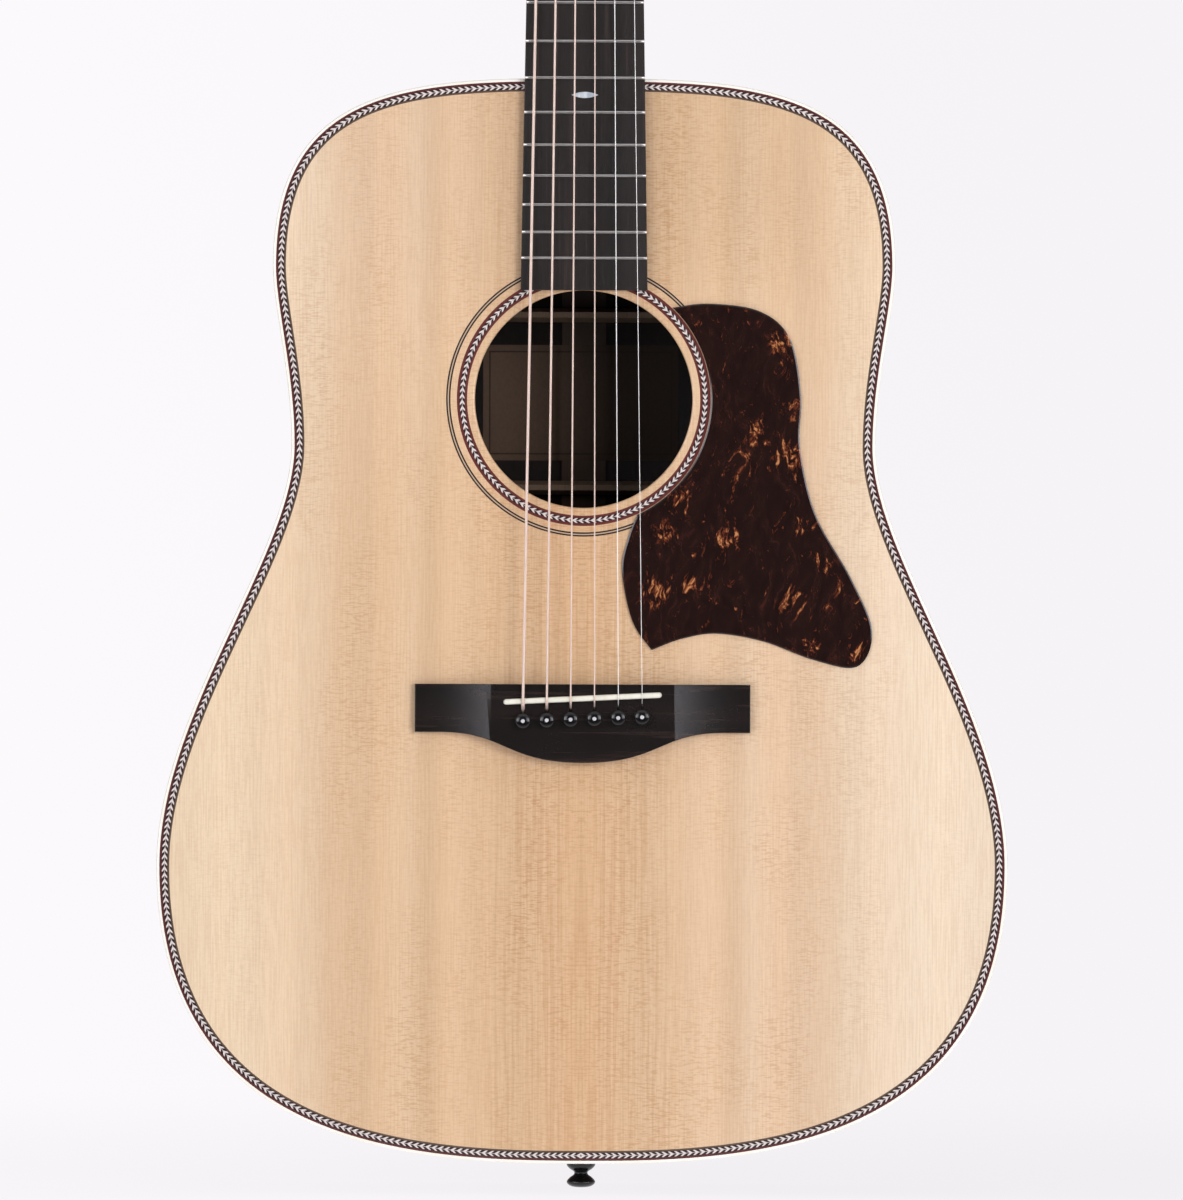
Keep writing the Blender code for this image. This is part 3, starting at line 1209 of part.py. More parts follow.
def main():
    """Build the whole guitar."""
    clear_scene()
    spruce = make_material("spruce", (0.80, 0.58, 0.36), 0.35)
    brace_spruce = make_material("brace_spruce", (0.72, 0.55, 0.36), 0.7)
    rosewood = make_material("rosewood", (0.13, 0.055, 0.035), 0.3)
    mahogany = make_material("mahogany", (0.27, 0.11, 0.055), 0.4)
    maple = make_material("maple", (0.70, 0.52, 0.34), 0.6)
    cedar = make_material("cedar", (0.42, 0.24, 0.13), 0.7)
    ebony = make_material("ebony", (0.018, 0.016, 0.016), 0.45)
    bone = make_material("bone", (0.86, 0.82, 0.70), 0.35)
    binding = make_material("binding", (0.88, 0.84, 0.72), 0.3)
    marquetry = make_material("marquetry", (0.12, 0.07, 0.06), 0.35)
    tortoise = make_material("tortoise", (0.05, 0.016, 0.008), 0.15)
    black_plastic = make_material("black_plastic", (0.012, 0.012, 0.012), 0.3)
    nickel = make_material("nickel", (0.66, 0.65, 0.62), 0.22, 1.0)
    steel = make_material("steel", (0.50, 0.50, 0.50), 0.35, 1.0)
    plain_wire = make_material("plain_wire", (0.72, 0.72, 0.72), 0.2, 1.0)
    wound_wire = make_material("wound_wire", (0.72, 0.45, 0.24), 0.3, 1.0)

    soundboard = build_soundboard(spruce)
    build_back(rosewood)
    build_side("side_treble", 1, rosewood)
    build_side("side_bass", -1, rosewood)
    build_trim(binding, marquetry)
    build_blocks(mahogany)
    bridge_plate = build_top_bracing(brace_spruce, maple)
    build_back_bracing(brace_spruce, cedar)
    bridge = build_bridge(ebony, bone)
    build_pins((bridge, soundboard, bridge_plate), black_plastic)
    build_pickguard(tortoise)
    build_end_pin(black_plastic)
    neck = build_neck(mahogany)
    build_fretboard(ebony)
    veneer = build_neck_fittings(ebony, bone, steel)
    build_strings(plain_wire, wound_wire)
    for number in range(1, len(STRING_DIAMETERS) + 1):
        build_tuner(number, (neck, veneer), nickel)


main()
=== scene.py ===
"""Looks of a six-string acoustic guitar with a square-shouldered body, laid over its measured frame.

Metres throughout. X runs to the treble side, Y from the soundboard to the back, Z up the neck. The origin is
the seat of the end pin: the middle of the rim at the tail.
"""

import json
import logging
import math
from collections.abc import Callable, Sequence
from dataclasses import dataclass, field
from enum import Enum

import bpy
import numpy as np
from mathutils import Matrix, Vector

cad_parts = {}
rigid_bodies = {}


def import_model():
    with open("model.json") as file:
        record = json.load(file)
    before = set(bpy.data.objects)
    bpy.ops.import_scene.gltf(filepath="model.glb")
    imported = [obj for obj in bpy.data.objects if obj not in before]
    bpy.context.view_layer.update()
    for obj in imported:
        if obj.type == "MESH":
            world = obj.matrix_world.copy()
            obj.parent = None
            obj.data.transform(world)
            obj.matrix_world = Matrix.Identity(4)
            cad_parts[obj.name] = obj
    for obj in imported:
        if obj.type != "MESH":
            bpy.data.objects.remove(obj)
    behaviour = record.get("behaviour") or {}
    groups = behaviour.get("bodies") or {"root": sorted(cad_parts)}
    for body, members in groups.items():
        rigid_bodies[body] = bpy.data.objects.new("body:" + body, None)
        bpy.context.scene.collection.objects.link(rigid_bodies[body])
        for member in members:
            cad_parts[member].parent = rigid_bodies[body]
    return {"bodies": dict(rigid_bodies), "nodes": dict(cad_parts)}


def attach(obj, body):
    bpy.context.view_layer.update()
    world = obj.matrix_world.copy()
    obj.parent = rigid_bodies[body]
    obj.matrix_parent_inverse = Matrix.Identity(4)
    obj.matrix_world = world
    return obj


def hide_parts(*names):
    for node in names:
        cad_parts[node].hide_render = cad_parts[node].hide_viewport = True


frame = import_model()
for spare in set(bpy.data.objects) - set(frame["nodes"].values()) - set(frame["bodies"].values()):
    bpy.data.objects.remove(spare)
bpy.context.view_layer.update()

LOG = logging.getLogger("guitar")
MM = 0.001
GUITAR = "guitar"
FRONT = -0.062
BODY_LENGTH = 0.5075
SCALE_LENGTH = 0.6452
NUT_LEVEL = BODY_LENGTH + SCALE_LENGTH * (1 - 2 ** (-14 / 12))
HOLE_LEVEL = 0.3575
HAIRLINE = 0.02 * MM

Socket = bpy.types.NodeSocket
Number = float | Socket
Mesh = bpy.types.Object


def srgb(red: float, green: float, blue: float) -> tuple[float, float, float, float]:
    """Turns a screen colour of 0 to 255 into the linear colour of a shader.

    Args:
        red: Red part.
        green: Green part.
        blue: Blue part.

    Returns:
        The linear colour with full opacity.
    """
    parts = np.array((red, green, blue)) / 255
    linear = np.where(parts <= 0.04045, parts / 12.92, ((parts + 0.055) / 1.055) ** 2.4)
    return (*map(float, linear), 1.0)


def cubic(knots: Sequence[Sequence[float]], count: int) -> np.ndarray:
    """Points along a cubic curve.

    Args:
        knots: Start, its handle, the end's handle and the end.
        count: How many points.

    Returns:
        The points, one a row.
    """
    t = np.linspace(0, 1, count)[:, None]
    weights = ((1 - t) ** 3, 3 * t * (1 - t) ** 2, 3 * t**2 * (1 - t), t**3)
    return sum(weight * np.array(knot, float) for weight, knot in zip(weights, knots))


def through(knots: Sequence[Sequence[float]], steps: int) -> np.ndarray:
    """A smooth curve through knots, from the first to the last.

    Args:
        knots: The points to pass.
        steps: Points to each stretch between two knots.

    Returns:
        The curve's points, one a row.
    """
    line = np.array([knots[0], *knots, knots[-1]], float)
    pieces = []
    for before, start, end, after in zip(line, line[1:], line[2:], line[3:]):
        handles = start, start + (end - before) / 6, end - (after - start) / 6, end
        pieces.append(cubic(handles, steps + 1)[:-1])
    return np.vstack([*pieces, line[-1:]])


def monotone(places: np.ndarray, values: np.ndarray, wanted: np.ndarray) -> np.ndarray:
    """Interpolates smoothly between stations without swinging past any of them.

    Args:
        places: Rising places of the stations.
        values: One row of values to each station.
        wanted: Where to interpolate.

    Returns:
        One row of values to each wanted place.
    """
    steps = np.diff(places)[:, None]
    slopes = np.diff(values, axis=0) / steps
    inner = np.zeros_like(slopes[1:])
    agree = slopes[1:] * slopes[:-1] > 0
    total = slopes[1:] + slopes[:-1]
    inner[agree] = 2 * slopes[1:][agree] * slopes[:-1][agree] / total[agree]
    tangents = np.vstack([slopes[:1], inner, slopes[-1:]])
    index = np.clip(np.searchsorted(places, wanted, side="right") - 1, 0, len(places) - 2)
    width = steps[index]
    t = ((wanted - places[index]) / width[:, 0])[:, None]
    start, end = values[index], values[index + 1]
    lead, trail = tangents[index] * width, tangents[index + 1] * width
    return (
        (2 * t**3 - 3 * t**2 + 1) * start
        + (t**3 - 2 * t**2 + t) * lead
        + (3 * t**2 - 2 * t**3) * end
        + (t**3 - t**2) * trail
    )


def smoothstep(share: float) -> float:
    """Eases a share between 0 and 1."""
    held = min(max(share, 0.0), 1.0)
    return held * held * (3 - 2 * held)


def deselect() -> None:
    """Leaves edit mode with nothing selected."""
    if bpy.context.mode != "OBJECT":
        bpy.ops.object.mode_set(mode="OBJECT")
    bpy.ops.object.select_all(action="DESELECT")


def take_up(obj: Mesh) -> None:
    """Makes a piece the only one selected, and the active one."""
    deselect()
    obj.select_set(True)
    bpy.context.view_layer.objects.active = obj


def christened(name: str) -> Mesh:
    """Names the object that an operator has just added.

    Args:
        name: Its new name.

    Returns:
        The object.
    """
    obj = bpy.context.object
    obj.name = name
    obj.data.name = name
    return obj


def close_up(obj: Mesh, fill: bool = False) -> Mesh:
    """Merges doubled points, fills open ends if asked, and turns all faces outwards.

    Args:
        obj: The piece.
        fill: Whether open ends get a face.

    Returns:
        The same piece.
    """
    take_up(obj)
    bpy.ops.object.mode_set(mode="EDIT")
    bpy.ops.mesh.select_all(action="SELECT")
    bpy.ops.mesh.remove_doubles(threshold=1e-6)
    if fill:
        bpy.ops.mesh.fill_holes(sides=0)
        bpy.ops.mesh.select_all(action="SELECT")
    bpy.ops.mesh.normals_make_consistent(inside=False)
    bpy.ops.object.mode_set(mode="OBJECT")
    return obj


def smooth(obj: Mesh, degrees: float = 35) -> Mesh:
    """Shades a piece smooth, apart from edges sharper than an angle.

    Args:
        obj: The piece.
        degrees: The angle.

    Returns:
        The same piece.
    """
    take_up(obj)
    bpy.ops.object.shade_smooth_by_angle(angle=math.radians(degrees))
    return obj


def weigh_normals(obj: Mesh) -> Mesh:
    """Keeps large flat faces flat beside their rounded edges; the last step on a piece.

    Args:
        obj: The piece.

    Returns:
        The same piece.
    """
    weigh = obj.modifiers.new("weigh", "WEIGHTED_NORMAL")
    weigh.keep_sharp = True
    take_up(obj)
    bpy.ops.object.modifier_apply(modifier=weigh.name)
    return obj


def place_points(obj: Mesh, points: np.ndarray) -> None:
    """Moves all points of a piece to new places."""
    obj.data.vertices.foreach_set("co", np.ascontiguousarray(points, np.float32).ravel())
    obj.data.update()


def skin(
    name: str,
    sheet: np.ndarray,
    around: bool = True,
    along: bool = False,
    uv: np.ndarray | None = None,
    sharp: float = 35,
    slots: Sequence[int] | None = None,
) -> Mesh:
    """Bends a grid over a sheet of points.

    Args:
        name: The piece's name.
        sheet: Rows by columns by three.
        around: Whether each row closes on itself; open ends of the rows are then filled.
        along: Whether the last row joins the first.
        uv: Rows by columns by two, in metres, counted with the closing row and column.
        sharp: Angle in degrees past which an edge stays sharp.
        slots: Which material slot each column's faces take.

    Returns:
        The piece.
    """
    if around:
        sheet = np.concatenate([sheet, sheet[:, :1]], axis=1)
    if along:
        sheet = np.concatenate([sheet, sheet[:1]], axis=0)
    rows, columns = sheet.shape[:2]
    deselect()
    bpy.ops.mesh.primitive_grid_add(x_subdivisions=columns - 1, y_subdivisions=rows - 1, size=1, calc_uvs=True)
    obj = christened(name)
    place_points(obj, sheet.reshape(-1, 3))
    if uv is not None:
        corners = np.zeros(len(obj.data.loops), np.int32)
        obj.data.loops.foreach_get("vertex_index", corners)
        values = np.ascontiguousarray(uv.reshape(-1, 2)[corners], np.float32)
        obj.data.uv_layers[0].data.foreach_set("uv", values.ravel())
    if slots is not None:
        obj.data.polygons.foreach_set("material_index", np.tile(np.array(slots, np.int32), rows - 1))
    close_up(obj, fill=around and not along)
    return smooth(obj, sharp)


def plate(name: str, outline: np.ndarray, front: float, back: float) -> Mesh:
    """Extrudes a flat outline of x and z from one depth to another.

    Args:
        name: The piece's name.
        outline: Points, one a row.
        front: Depth of its front face.
        back: Depth of its back face.

    Returns:
        The piece, unshaded.
    """
    deselect()
    bpy.ops.mesh.primitive_circle_add(vertices=len(outline), fill_type="NGON")
    obj = christened(name)
    place_points(obj, np.column_stack([outline[:, 0], np.full(len(outline), front), outline[:, 1]]))
    bpy.ops.object.mode_set(mode="EDIT")
    bpy.ops.mesh.select_all(action="SELECT")
    bpy.ops.mesh.extrude_region_move(TRANSFORM_OT_translate={"value": (0, back - front, 0)})
    return close_up(obj)


def turned(name: str, profile: Sequence[Sequence[float]], steps: int, at: Matrix, ring: bool = False) -> Mesh:
    """Spins a profile of radius and height round an axis.

    Args:
        name: The piece's name.
        profile: Radius and height of each point.
        steps: Facets round the axis.
        at: Where the local Z axis and its origin go.
        ring: Whether the profile closes on itself, as a washer's does.

    Returns:
        The piece.
    """
    deselect()
    bpy.ops.mesh.primitive_circle_add(vertices=len(profile), fill_type="NOTHING")
    obj = christened(name)
    place_points(obj, np.array([(radius, 0, height) for radius, height in profile]))
    if not ring:
        closing = {0, len(profile) - 1}
        choose_edges(obj, lambda edge: set(edge.vertices) == closing)
        bpy.ops.mesh.delete(type="EDGE")
    bpy.ops.object.mode_set(mode="EDIT")
    bpy.ops.mesh.select_all(action="SELECT")
    bpy.ops.mesh.spin(steps=steps, angle=2 * math.pi, center=(0, 0, 0), axis=(0, 0, 1))
    close_up(obj)
    obj.data.transform(at)
    return smooth(obj)


def choose_edges(obj: Mesh, wanted: Callable[[bpy.types.MeshEdge], bool]) -> None:
    """Goes into edit mode with only the wanted edges selected.

    Args:
        obj: The piece.
        wanted: Says of an edge whether it is wanted.
    """
    take_up(obj)
    bpy.context.tool_settings.mesh_select_mode = (False, True, False)
    bpy.ops.object.mode_set(mode="EDIT")
    bpy.ops.mesh.select_all(action="DESELECT")
    bpy.ops.object.mode_set(mode="OBJECT")
    for edge in obj.data.edges:
        edge.select = wanted(edge)
    bpy.ops.object.mode_set(mode="EDIT")


def soften(obj: Mesh, wanted: Callable[[Vector, Vector], bool], width: float, segments: int = 3) -> Mesh:
    """Rounds the edges whose two ends pass a test.

    Args:
        obj: The piece.
        wanted: Says of an edge's two ends whether it is rounded.
        width: How far the rounding reaches.
        segments: Facets across it.

    Returns:
        The same piece.
    """
    points = obj.data.vertices
    choose_edges(obj, lambda edge: wanted(*(points[i].co for i in edge.vertices)))
    bpy.ops.mesh.bevel(offset=width, segments=segments, affect="EDGES", clamp_overlap=True)
    bpy.ops.object.mode_set(mode="OBJECT")
    return obj


def carve(target: Mesh, tool: Mesh, operation: str = "DIFFERENCE") -> Mesh:
    """Cuts a tool from a piece, or joins it on, and throws the tool away.

    Args:
        target: The piece.
        tool: The tool.
        operation: The Boolean's kind.

    Returns:
        The piece.
    """
    cutter = target.modifiers.new("carve", "BOOLEAN")
    cutter.object = tool
    cutter.operation = operation
    cutter.solver = "EXACT"
    take_up(target)
    bpy.ops.object.modifier_apply(modifier=cutter.name)
    bpy.data.objects.remove(tool)
    return target


def twin(obj: Mesh, name: str, move: Matrix) -> Mesh:
    """Copies a piece with a mesh of its own and moves the copy.

    Args:
        obj: The piece to copy.
        name: The copy's name.
        move: How the copy lies to the first; a mirroring keeps its faces outwards.

    Returns:
        The copy.
    """
    copy = obj.copy()
    copy.data = obj.data.copy()
    copy.name = name
    copy.data.name = name
    bpy.context.scene.collection.objects.link(copy)
    copy.data.transform(move)
    if move.determinant() < 0:
        copy.data.flip_normals()
    return copy


def disc(centre: Sequence[float], radius: float, count: int) -> np.ndarray:
    """The outline of a disc in x and z.

    Args:
        centre: Its middle.
        radius: Its radius.
        count: How many points.

    Returns:
        The points, one a row.
    """
    angles = 2 * np.pi * (np.arange(count) + 0.5) / count
    return np.column_stack([centre[0] + radius * np.cos(angles), centre[1] + radius * np.sin(angles)])


def tube(path: np.ndarray, radii: np.ndarray, sides: int) -> tuple[np.ndarray, np.ndarray]:
    """Rings round a path, carried along it without twist.

    Args:
        path: Points along the middle, one a row.
        radii: Radius at each point.
        sides: Points to a ring.

    Returns:
        The sheet of points, and its map in metres along and round the wire.
    """
    tangents = np.gradient(path, axis=0)
    tangents /= np.linalg.norm(tangents, axis=1)[:, None]
    across = np.cross(tangents[0], (0.31, 0.17, 0.93))
    rings = []
    angles = 2 * np.pi * np.arange(sides) / sides
    for point, tangent, radius in zip(path, tangents, radii):
        across = across - tangent * (across @ tangent)
        across /= np.linalg.norm(across)
        other = np.cross(tangent, across)
        rings.append(point + radius * (np.cos(angles)[:, None] * across + np.sin(angles)[:, None] * other))
    travel = np.concatenate([[0], np.cumsum(np.linalg.norm(np.diff(path, axis=0), axis=1))])
    turn = np.arange(sides + 1) / sides
    grid = np.stack(np.broadcast_arrays(travel[:, None], turn[None, :] * 2 * np.pi * radii[:, None]), axis=-1)
    return np.array(rings), grid


class Graph:
    """A shader's node tree, with one call to each kind of node that the finishes use."""

    def __init__(self, tree: bpy.types.NodeTree) -> None:
        """Starts on an empty tree."""
        self.tree = tree

    def add(self, kind: str, **settings: object) -> bpy.types.Node:
        """Adds a node and sets its own properties."""
        node = self.tree.nodes.new("ShaderNode" + kind)
        for name, value in settings.items():
            setattr(node, name, value)
        return node

    def feed(self, socket: Socket, value: object) -> None:
        """Links a socket to another, or sets its value."""
        if isinstance(value, bpy.types.NodeSocket):
            self.tree.links.new(value, socket)
        elif value is not None:
            socket.default_value = value

    def place(self, kind: str = "Object") -> Socket:
        """The place on the piece, from its object or its map."""
        return self.add("TexCoord").outputs[kind]

    def parts(self, vector: Socket) -> tuple[Socket, Socket, Socket]:
        """A vector's three numbers."""
        node = self.add("SeparateXYZ")
        self.feed(node.inputs[0], vector)
        return node.outputs[0], node.outputs[1], node.outputs[2]

    def vector(self, x: Number, y: Number, z: Number) -> Socket:
        """A vector from three numbers."""
        node = self.add("CombineXYZ")
        for socket, value in zip(node.inputs, (x, y, z)):
            self.feed(socket, value)
        return node.outputs[0]

    def stretched(self, vector: Socket, scale: Sequence[float], shift: Sequence[float] = (0, 0, 0)) -> Socket:
        """A place scaled along each axis, then shifted."""
        node = self.add("Mapping")
        self.feed(node.inputs["Vector"], vector)
        node.inputs["Scale"].default_value = scale
        node.inputs["Location"].default_value = shift
        return node.outputs[0]

    def math(self, operation: str, *values: Number) -> Socket:
        """One step of arithmetic."""
        node = self.add("Math", operation=operation)
        for socket, value in zip(node.inputs, values):
            self.feed(socket, value)
        return node.outputs[0]

    def fit(self, value: Number, low: float, high: float, to: Sequence[float] = (0, 1)) -> Socket:
        """Eases a value from one span to another, held at both ends."""
        node = self.add("MapRange", interpolation_type="SMOOTHSTEP")
        for name, given in zip(("Value", "From Min", "From Max", "To Min", "To Max"), (value, low, high, *to)):
            self.feed(node.inputs[name], given)
        return node.outputs[0]

    def noise(self, vector: Socket, scale: float = 1, detail: float = 2, rough: float = 0.5) -> Socket:
        """Cloudy noise from about 0 to 1."""
        node = self.add("TexNoise")
        self.feed(node.inputs["Vector"], vector)
        for name, value in (("Scale", scale), ("Detail", detail), ("Roughness", rough)):
            node.inputs[name].default_value = value
        return node.outputs[0]

    def ramp(self, value: Number, stops: Sequence[tuple[float, Sequence[float]]], hard: bool = False) -> Socket:
        """A colour looked up along a row of stops."""
        node = self.add("ValToRGB")
        node.color_ramp.interpolation = "CONSTANT" if hard else "LINEAR"
        elements = node.color_ramp.elements
        while len(elements) < len(stops):
            elements.new(1)
        for element, (position, colour) in zip(elements, stops):
            element.position = position
            element.color = colour
        self.feed(node.inputs[0], value)
        return node.outputs[0]

    def mix(self, share: Number, first: object, second: object, blend: str = "MIX") -> Socket:
        """Mixes two colours."""
        node = self.add("Mix", data_type="RGBA", blend_type=blend)
        for socket, value in zip((node.inputs[0], node.inputs[6], node.inputs[7]), (share, first, second)):
            self.feed(socket, value)
        return node.outputs[2]

    def bump(self, height: Socket, strength: float, distance: float) -> Socket:
        """A normal bent by a height."""
        node = self.add("Bump")
        node.inputs["Strength"].default_value = strength
        node.inputs["Distance"].default_value = distance
        self.feed(node.inputs["Height"], height)
        return node.outputs[0]

    def effect(self, group: bpy.types.NodeTree, **values: object) -> bpy.types.Node:
        """Places a shared effect with its own values; underscores in names stand for spaces."""
        node = self.add("Group", node_tree=group)
        for name, value in values.items():
            self.feed(node.inputs[name.replace("_", " ")], value)
        return node

    def surface(self, **values: object) -> bpy.types.Node:
        """The shader itself, with its sockets linked or set; underscores in names stand for spaces."""
        shader = self.add("BsdfPrincipled")
        for name, value in values.items():
            self.feed(shader.inputs[name.replace("_", " ")], value)
        output = self.add("OutputMaterial")
        self.feed(output.inputs["Surface"], shader.outputs[0])
        return shader


def shared_effect(
    name: str, takes: dict[str, object], gives: Sequence[str], draw: Callable[[Graph, dict], dict]
) -> bpy.types.NodeTree:
    """Builds a node group once.

    Args:
        name: The group's name.
        takes: Its inputs with their defaults; None stands for a vector.
        gives: Its outputs, all values.
        draw: Makes the nodes from the inputs and returns the outputs.

    Returns:
        The group.
    """
    group = bpy.data.node_groups.new(name, "ShaderNodeTree")
    for title, default in takes.items():
        kind = "NodeSocketVector" if default is None else "NodeSocketFloat"
        socket = group.interface.new_socket(title, in_out="INPUT", socket_type=kind)
        if default is not None:
            socket.default_value = default
    for title in gives:
        group.interface.new_socket(title, in_out="OUTPUT", socket_type="NodeSocketFloat")
    graph = Graph(group)
    source = group.nodes.new("NodeGroupInput")
    sink = group.nodes.new("NodeGroupOutput")
    for title, value in draw(graph, {title: source.outputs[title] for title in takes}).items():
        graph.feed(sink.inputs[title], value)
    return group


def draw_growth(g: Graph, given: dict[str, Socket]) -> dict[str, Socket]:
    """Growth rings cut lengthwise: fine dark lines across one direction, and broad bands of tone.

    Args:
        g: The group's graph.
        given: The group's inputs.

    Returns:
        The group's outputs.
    """
    drift = g.noise(g.stretched(given["Place"], (9, 9, 1.6)), 1, 2)
    wander = g.math("MULTIPLY", g.math("SUBTRACT", drift, 0.5), given["Wander"])
    across = g.math("ADD", given["Across"], wander)
    uneven = g.noise(g.vector(g.math("MULTIPLY", across, 55), 3.1, 0), 1, 3)
    rings = g.math("DIVIDE", across, given["Spacing"])
    rings = g.math("ADD", rings, g.math("MULTIPLY", uneven, 6))
    line = g.math("POWER", g.math("FRACT", rings), given["Sharpness"])
    strong = g.noise(g.vector(g.math("MULTIPLY", rings, 0.41), 7.7, 0), 1, 1)
    band = g.noise(g.vector(g.math("MULTIPLY", across, 38), 1.3, 0), 1, 2)
    return {"Line": g.math("MULTIPLY", line, g.fit(strong, 0.25, 0.75, (0.35, 1))), "Band": band}


def draw_dashes(g: Graph, given: dict[str, Socket]) -> dict[str, Socket]:
    """Fine short dashes, as pores or rays make.

    Args:
        g: The group's graph.
        given: The group's inputs.

    Returns:
        The group's outputs.
    """
    x, y, z = g.parts(given["Place"])
    fine = g.vector(
        g.math("DIVIDE", x, given["Width"]), g.math("DIVIDE", y, given["Width"]), g.math("DIVIDE", z, given["Length"])
    )
    cloud = g.noise(fine, 1, 1)
    node = g.add("MapRange", interpolation_type="SMOOTHSTEP")
    g.feed(node.inputs["Value"], cloud)
    g.feed(node.inputs["From Min"], given["Threshold"])
    g.feed(node.inputs["From Max"], g.math("ADD", given["Threshold"], 0.12))
    return {"Dash": node.outputs[0]}


def draw_handling(g: Graph, given: dict[str, Socket]) -> dict[str, Socket]:
    """The small unevenness of a rubbed or polished surface.

    Args:
        g: The group's graph.
        given: The group's inputs.

    Returns:
        The group's outputs.
    """
    broad = g.noise(given["Place"], 31, 3)
    fine = g.noise(given["Place"], 900, 2)
    share = g.math("ADD", g.math("MULTIPLY", broad, 0.7), g.math("MULTIPLY", fine, 0.3))
    swing = g.math("MULTIPLY", g.math("SUBTRACT", share, 0.5), given["Unevenness"])
    return {"Roughness": g.math("ADD", given["Roughness"], swing), "Height": share}


def draw_chevrons(g: Graph, given: dict[str, Socket]) -> dict[str, Socket]:
    """Herringbone: pale arms that trail back from a spine.

    Args:
        g: The group's graph.
        given: The group's inputs.

    Returns:
        The group's outputs.
    """
    off = g.math("ABSOLUTE", g.math("SUBTRACT", given["Across"], given["Spine"]))
    lean = g.math("ADD", given["Along"], g.math("MULTIPLY", off, given["Slope"]))
    phase = g.math("FRACT", g.math("DIVIDE", lean, given["Pitch"]))
    centred = g.math("ABSOLUTE", g.math("SUBTRACT", phase, 0.5))
    taper = g.math("DIVIDE", off, given["Reach"])
    half = g.math("SUBTRACT", 0.27, g.math("MULTIPLY", taper, 0.11))
    arm = g.fit(g.math("SUBTRACT", centred, half), 0.05, -0.05)
    arm = g.math("MULTIPLY", arm, g.fit(taper, 1.08, 0.92))
    spine = g.fit(off, 0.20 * MM, 0.10 * MM)
    return {"Arm": arm, "Line": spine, "Off": off}


GROWTH = shared_effect(
    "growth_lines",
    {"Place": None, "Across": 0.0, "Spacing": 1.5 * MM, "Wander": 4 * MM, "Sharpness": 3.0},
    ("Line", "Band"),
    draw_growth,
)
DASHES = shared_effect(
    "fine_dashes", {"Place": None, "Width": 0.3 * MM, "Length": 6 * MM, "Threshold": 0.6}, ("Dash",), draw_dashes
)
HANDLING = shared_effect(
    "handling", {"Place": None, "Roughness": 0.4, "Unevenness": 0.1}, ("Roughness", "Height"), draw_handling
)
CHEVRONS = shared_effect(
    "chevrons",
    {"Along": 0.0, "Across": 0.0, "Spine": 1.4 * MM, "Pitch": 3 * MM, "Slope": 1.5, "Reach": 1 * MM},
    ("Arm", "Line", "Off"),
    draw_chevrons,
)


@dataclass(frozen=True)
class Finish:
    """What a surface is made of and how it is finished."""

    name: str

    def paint(self, g: Graph) -> None:
        """Draws the finish's nodes.

        Args:
            g: The material's graph.
        """
        raise NotImplementedError

    def material(self) -> bpy.types.Material:
        """The finish as a material, made once.

        Returns:
            The material.
        """
        title = "finish_" + self.name
        found = bpy.data.materials.get(title)
        if found is None:
            found = bpy.data.materials.new(title)
            found.use_nodes = True
            found.node_tree.nodes.clear()
            self.paint(Graph(found.node_tree))
        return found


